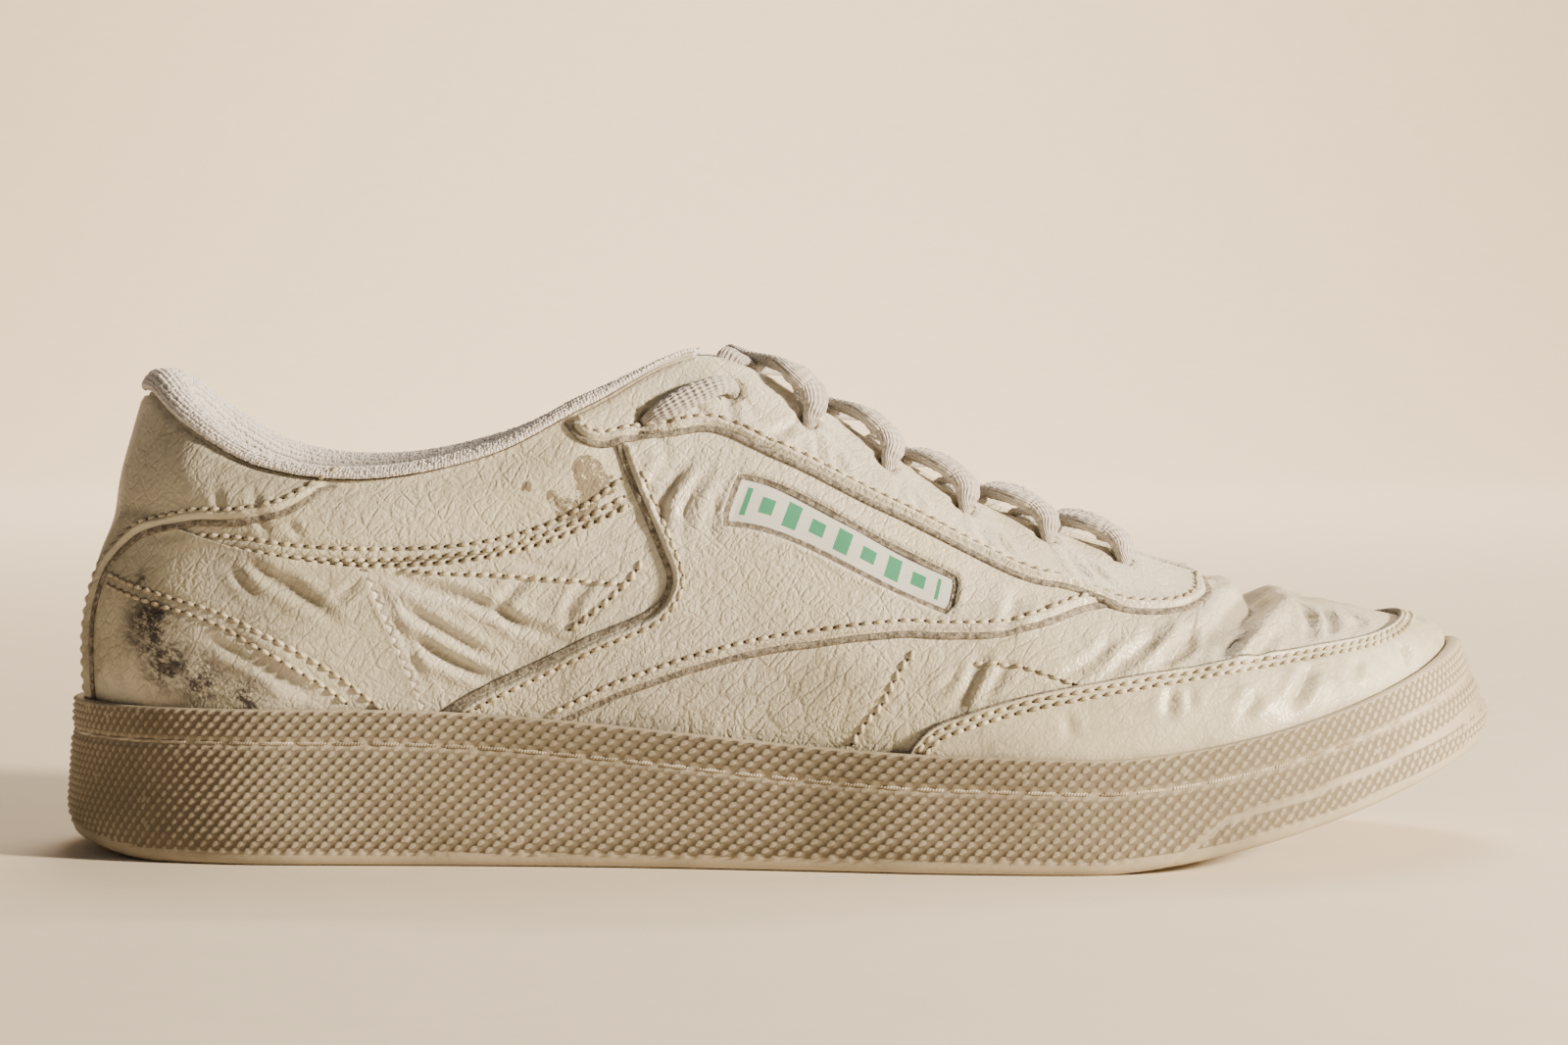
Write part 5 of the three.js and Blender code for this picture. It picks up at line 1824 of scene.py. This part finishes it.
class SNEAKER_OT_laces(bpy.types.Operator):
    """Braided laces through the eyelets, criss-cross over the tongue, with a locking run at each top pair"""

    bl_idname = "sneaker.laces"
    bl_label = "Laces"

    def execute(self, context):
        trim = context.scene.sneaker_trim
        material = cloth_material("lace_braid", trim.lace_colour, (0.33, 0.3, 0.28), 21.0, 41.9, 0.0007, 0.4)
        crossed = EYELETS[:-1]
        bm = bmesh.new()
        for i, (start, stop) in enumerate(zip(crossed, crossed[1:])):
            for side in (-1, 1):
                self.tube(bm, self.crossing(side, start, stop, i), trim)
        laces = finish_mesh(bm, "laces", [material])
        settle(laces, "lace", "lacing")
        for side, name in ((-1, "outer"), (1, "inner")):
            bm = bmesh.new()
            self.tube(bm, self.lock(side), trim)
            lock = finish_mesh(bm, f"lace_end_{name}", [material])
            settle(lock, "lace", f"lace_lock_{name}")
        return {"FINISHED"}

    @staticmethod
    def spot(side, s, distance, lift):
        """A point below the throat's edge by a distance, lifted off the last, and the way out of the surface."""
        place = s if side < 0 else COUNT - s
        point, _, _, normal = slopes(np.array([place]), np.array([1 - distance / top_rise(place)]))
        return point[0] + normal[0] * lift, normal[0]

    def crossing(self, side, start, stop, i):
        """Control points of one run: place, way out, width share and thickness share."""
        depth = EYELET_DEPTH
        over = -0.2 if side < 0 else -2.2  # the run from the outer side lies on the other
        left, right = (self.spot(way, (start + stop) / 2, 0, 0)[0] for way in (side, -side))
        middle = (left + right) / 2 + np.array([0, 0, 1.7 + over])
        up = np.array([0.3, 0, 1.0])
        return [
            (*self.spot(side, start + 0.02, depth + 0.6, -3.2), 0.5, 1.0),
            (*self.spot(side, start, depth, 0.2), 0.56, 1.2),
            (*self.spot(side, start + 0.03, depth - 2.2, 2.4), 0.9, 1.5),
            (*self.spot(side, start + 0.02, depth * 0.42, 3.5), 1.15, 1.5),
            (*self.spot(side, start - 0.09, 0.0, 3.3), 1.2, 1.3),
            (middle, up, 1.0, 0.95),
            (*self.spot(-side, stop + 0.2, -2.0, -0.6), 0.95, 0.85),
            (*self.spot(-side, stop + 0.08, 3.5, -3.6), 0.85, 0.75),
            (*self.spot(-side, stop, depth, -3.4), 0.6, 0.8),
        ]

    def lock(self, side):
        front, back = EYELETS[-2:]
        depth = EYELET_DEPTH
        return [
            (*self.spot(side, front + 0.03, depth, -3.4), 0.5, 0.9),
            (*self.spot(side, front, depth, 0.2), 0.5, 1.1),
            (*self.spot(side, front - 0.13, depth + 0.2, 1.9), 0.7, 1.05),
            (*self.spot(side, (front + back) / 2, depth + 0.6, 2.2), 0.8, 1.0),
            (*self.spot(side, back + 0.13, depth + 0.4, 1.9), 0.7, 1.05),
            (*self.spot(side, back, depth, 0.2), 0.5, 1.1),
            (*self.spot(side, back - 0.05, depth, -3.4), 0.5, 0.9),
        ]

    @staticmethod
    def tube(bm, stops, trim):
        """A flat braid along the stops, its ends closed."""
        knots = np.array([[*point, *way, wide, thick] for point, way, wide, thick in stops])
        path = resampled(smooth_path(knots, 12), 0.5)
        columns, rows = len(path) - 1, 20
        fresh = bmesh.new()
        lengthways, around = grid_sheet(fresh, columns, rows)
        row = np.round(lengthways * columns).astype(int)
        tangent = unit(np.gradient(path[:, :3], axis=0))
        across = unit(np.cross(tangent, path[:, 3:6]))
        out = np.cross(across, tangent)
        turn = 2 * math.pi * around
        half_width, half_thick = trim.lace_width / 2 * path[row, 6], trim.lace_thickness / 2 * path[row, 7]
        mark = row * 0.5
        braid = 0.16 * np.cos(mark * 2.6 + 6 * np.abs((around * 2) % 1 - 0.5)) * np.cos(turn * 5)
        x = np.sign(np.cos(turn)) * np.abs(np.cos(turn)) ** 0.8 * (half_width + braid)
        y = np.sign(np.sin(turn)) * np.abs(np.sin(turn)) ** 0.8 * (half_thick + braid)
        points = path[row, :3] + across[row] * x[:, None] + out[row] * y[:, None]
        uv = fresh.loops.layers.uv.new("UVMap")
        shares = {vert: (a * columns * 0.05, b * 1.5) for vert, a, b in zip(fresh.verts, lengthways, around)}
        for face in fresh.faces:
            for loop in face.loops:
                loop[uv].uv = shares[loop.vert]
        rolled(fresh, points, 1e-4)
        capped(fresh)
        mesh = bpy.data.meshes.new("run")
        fresh.to_mesh(mesh)
        fresh.free()
        bm.from_mesh(mesh)
        bpy.data.meshes.remove(mesh)


OPERATORS = (
    SNEAKER_OT_stage,
    SNEAKER_OT_sidewall,
    SNEAKER_OT_sole_thread,
    SNEAKER_OT_under_layer,
    SNEAKER_OT_panels,
    SNEAKER_OT_stitching,
    SNEAKER_OT_collar,
    SNEAKER_OT_tongue,
    SNEAKER_OT_footbed,
    SNEAKER_OT_label,
    SNEAKER_OT_laces,
)


class SNEAKER_PT_pieces(bpy.types.Panel):
    bl_label = "Worn Court Sneaker"
    bl_idname = "SNEAKER_PT_pieces"
    bl_space_type = "VIEW_3D"
    bl_region_type = "UI"
    bl_category = "Sneaker"

    def draw(self, context):
        for operator in OPERATORS:
            self.layout.operator(operator.bl_idname)


CLASSES = (*SETTINGS.values(), *OPERATORS, SNEAKER_PT_pieces)


def register():
    for item in CLASSES:
        bpy.utils.register_class(item)
    for name, settings in SETTINGS.items():
        setattr(bpy.types.Scene, name, PointerProperty(type=settings))


def unregister():
    for name in SETTINGS:
        delattr(bpy.types.Scene, name)
    for item in reversed(CLASSES):
        bpy.utils.unregister_class(item)


def main():
    register()
    for operator in OPERATORS:
        family, name = operator.bl_idname.split(".")
        getattr(getattr(bpy.ops, family), name)()


if __name__ == "__main__":
    main()
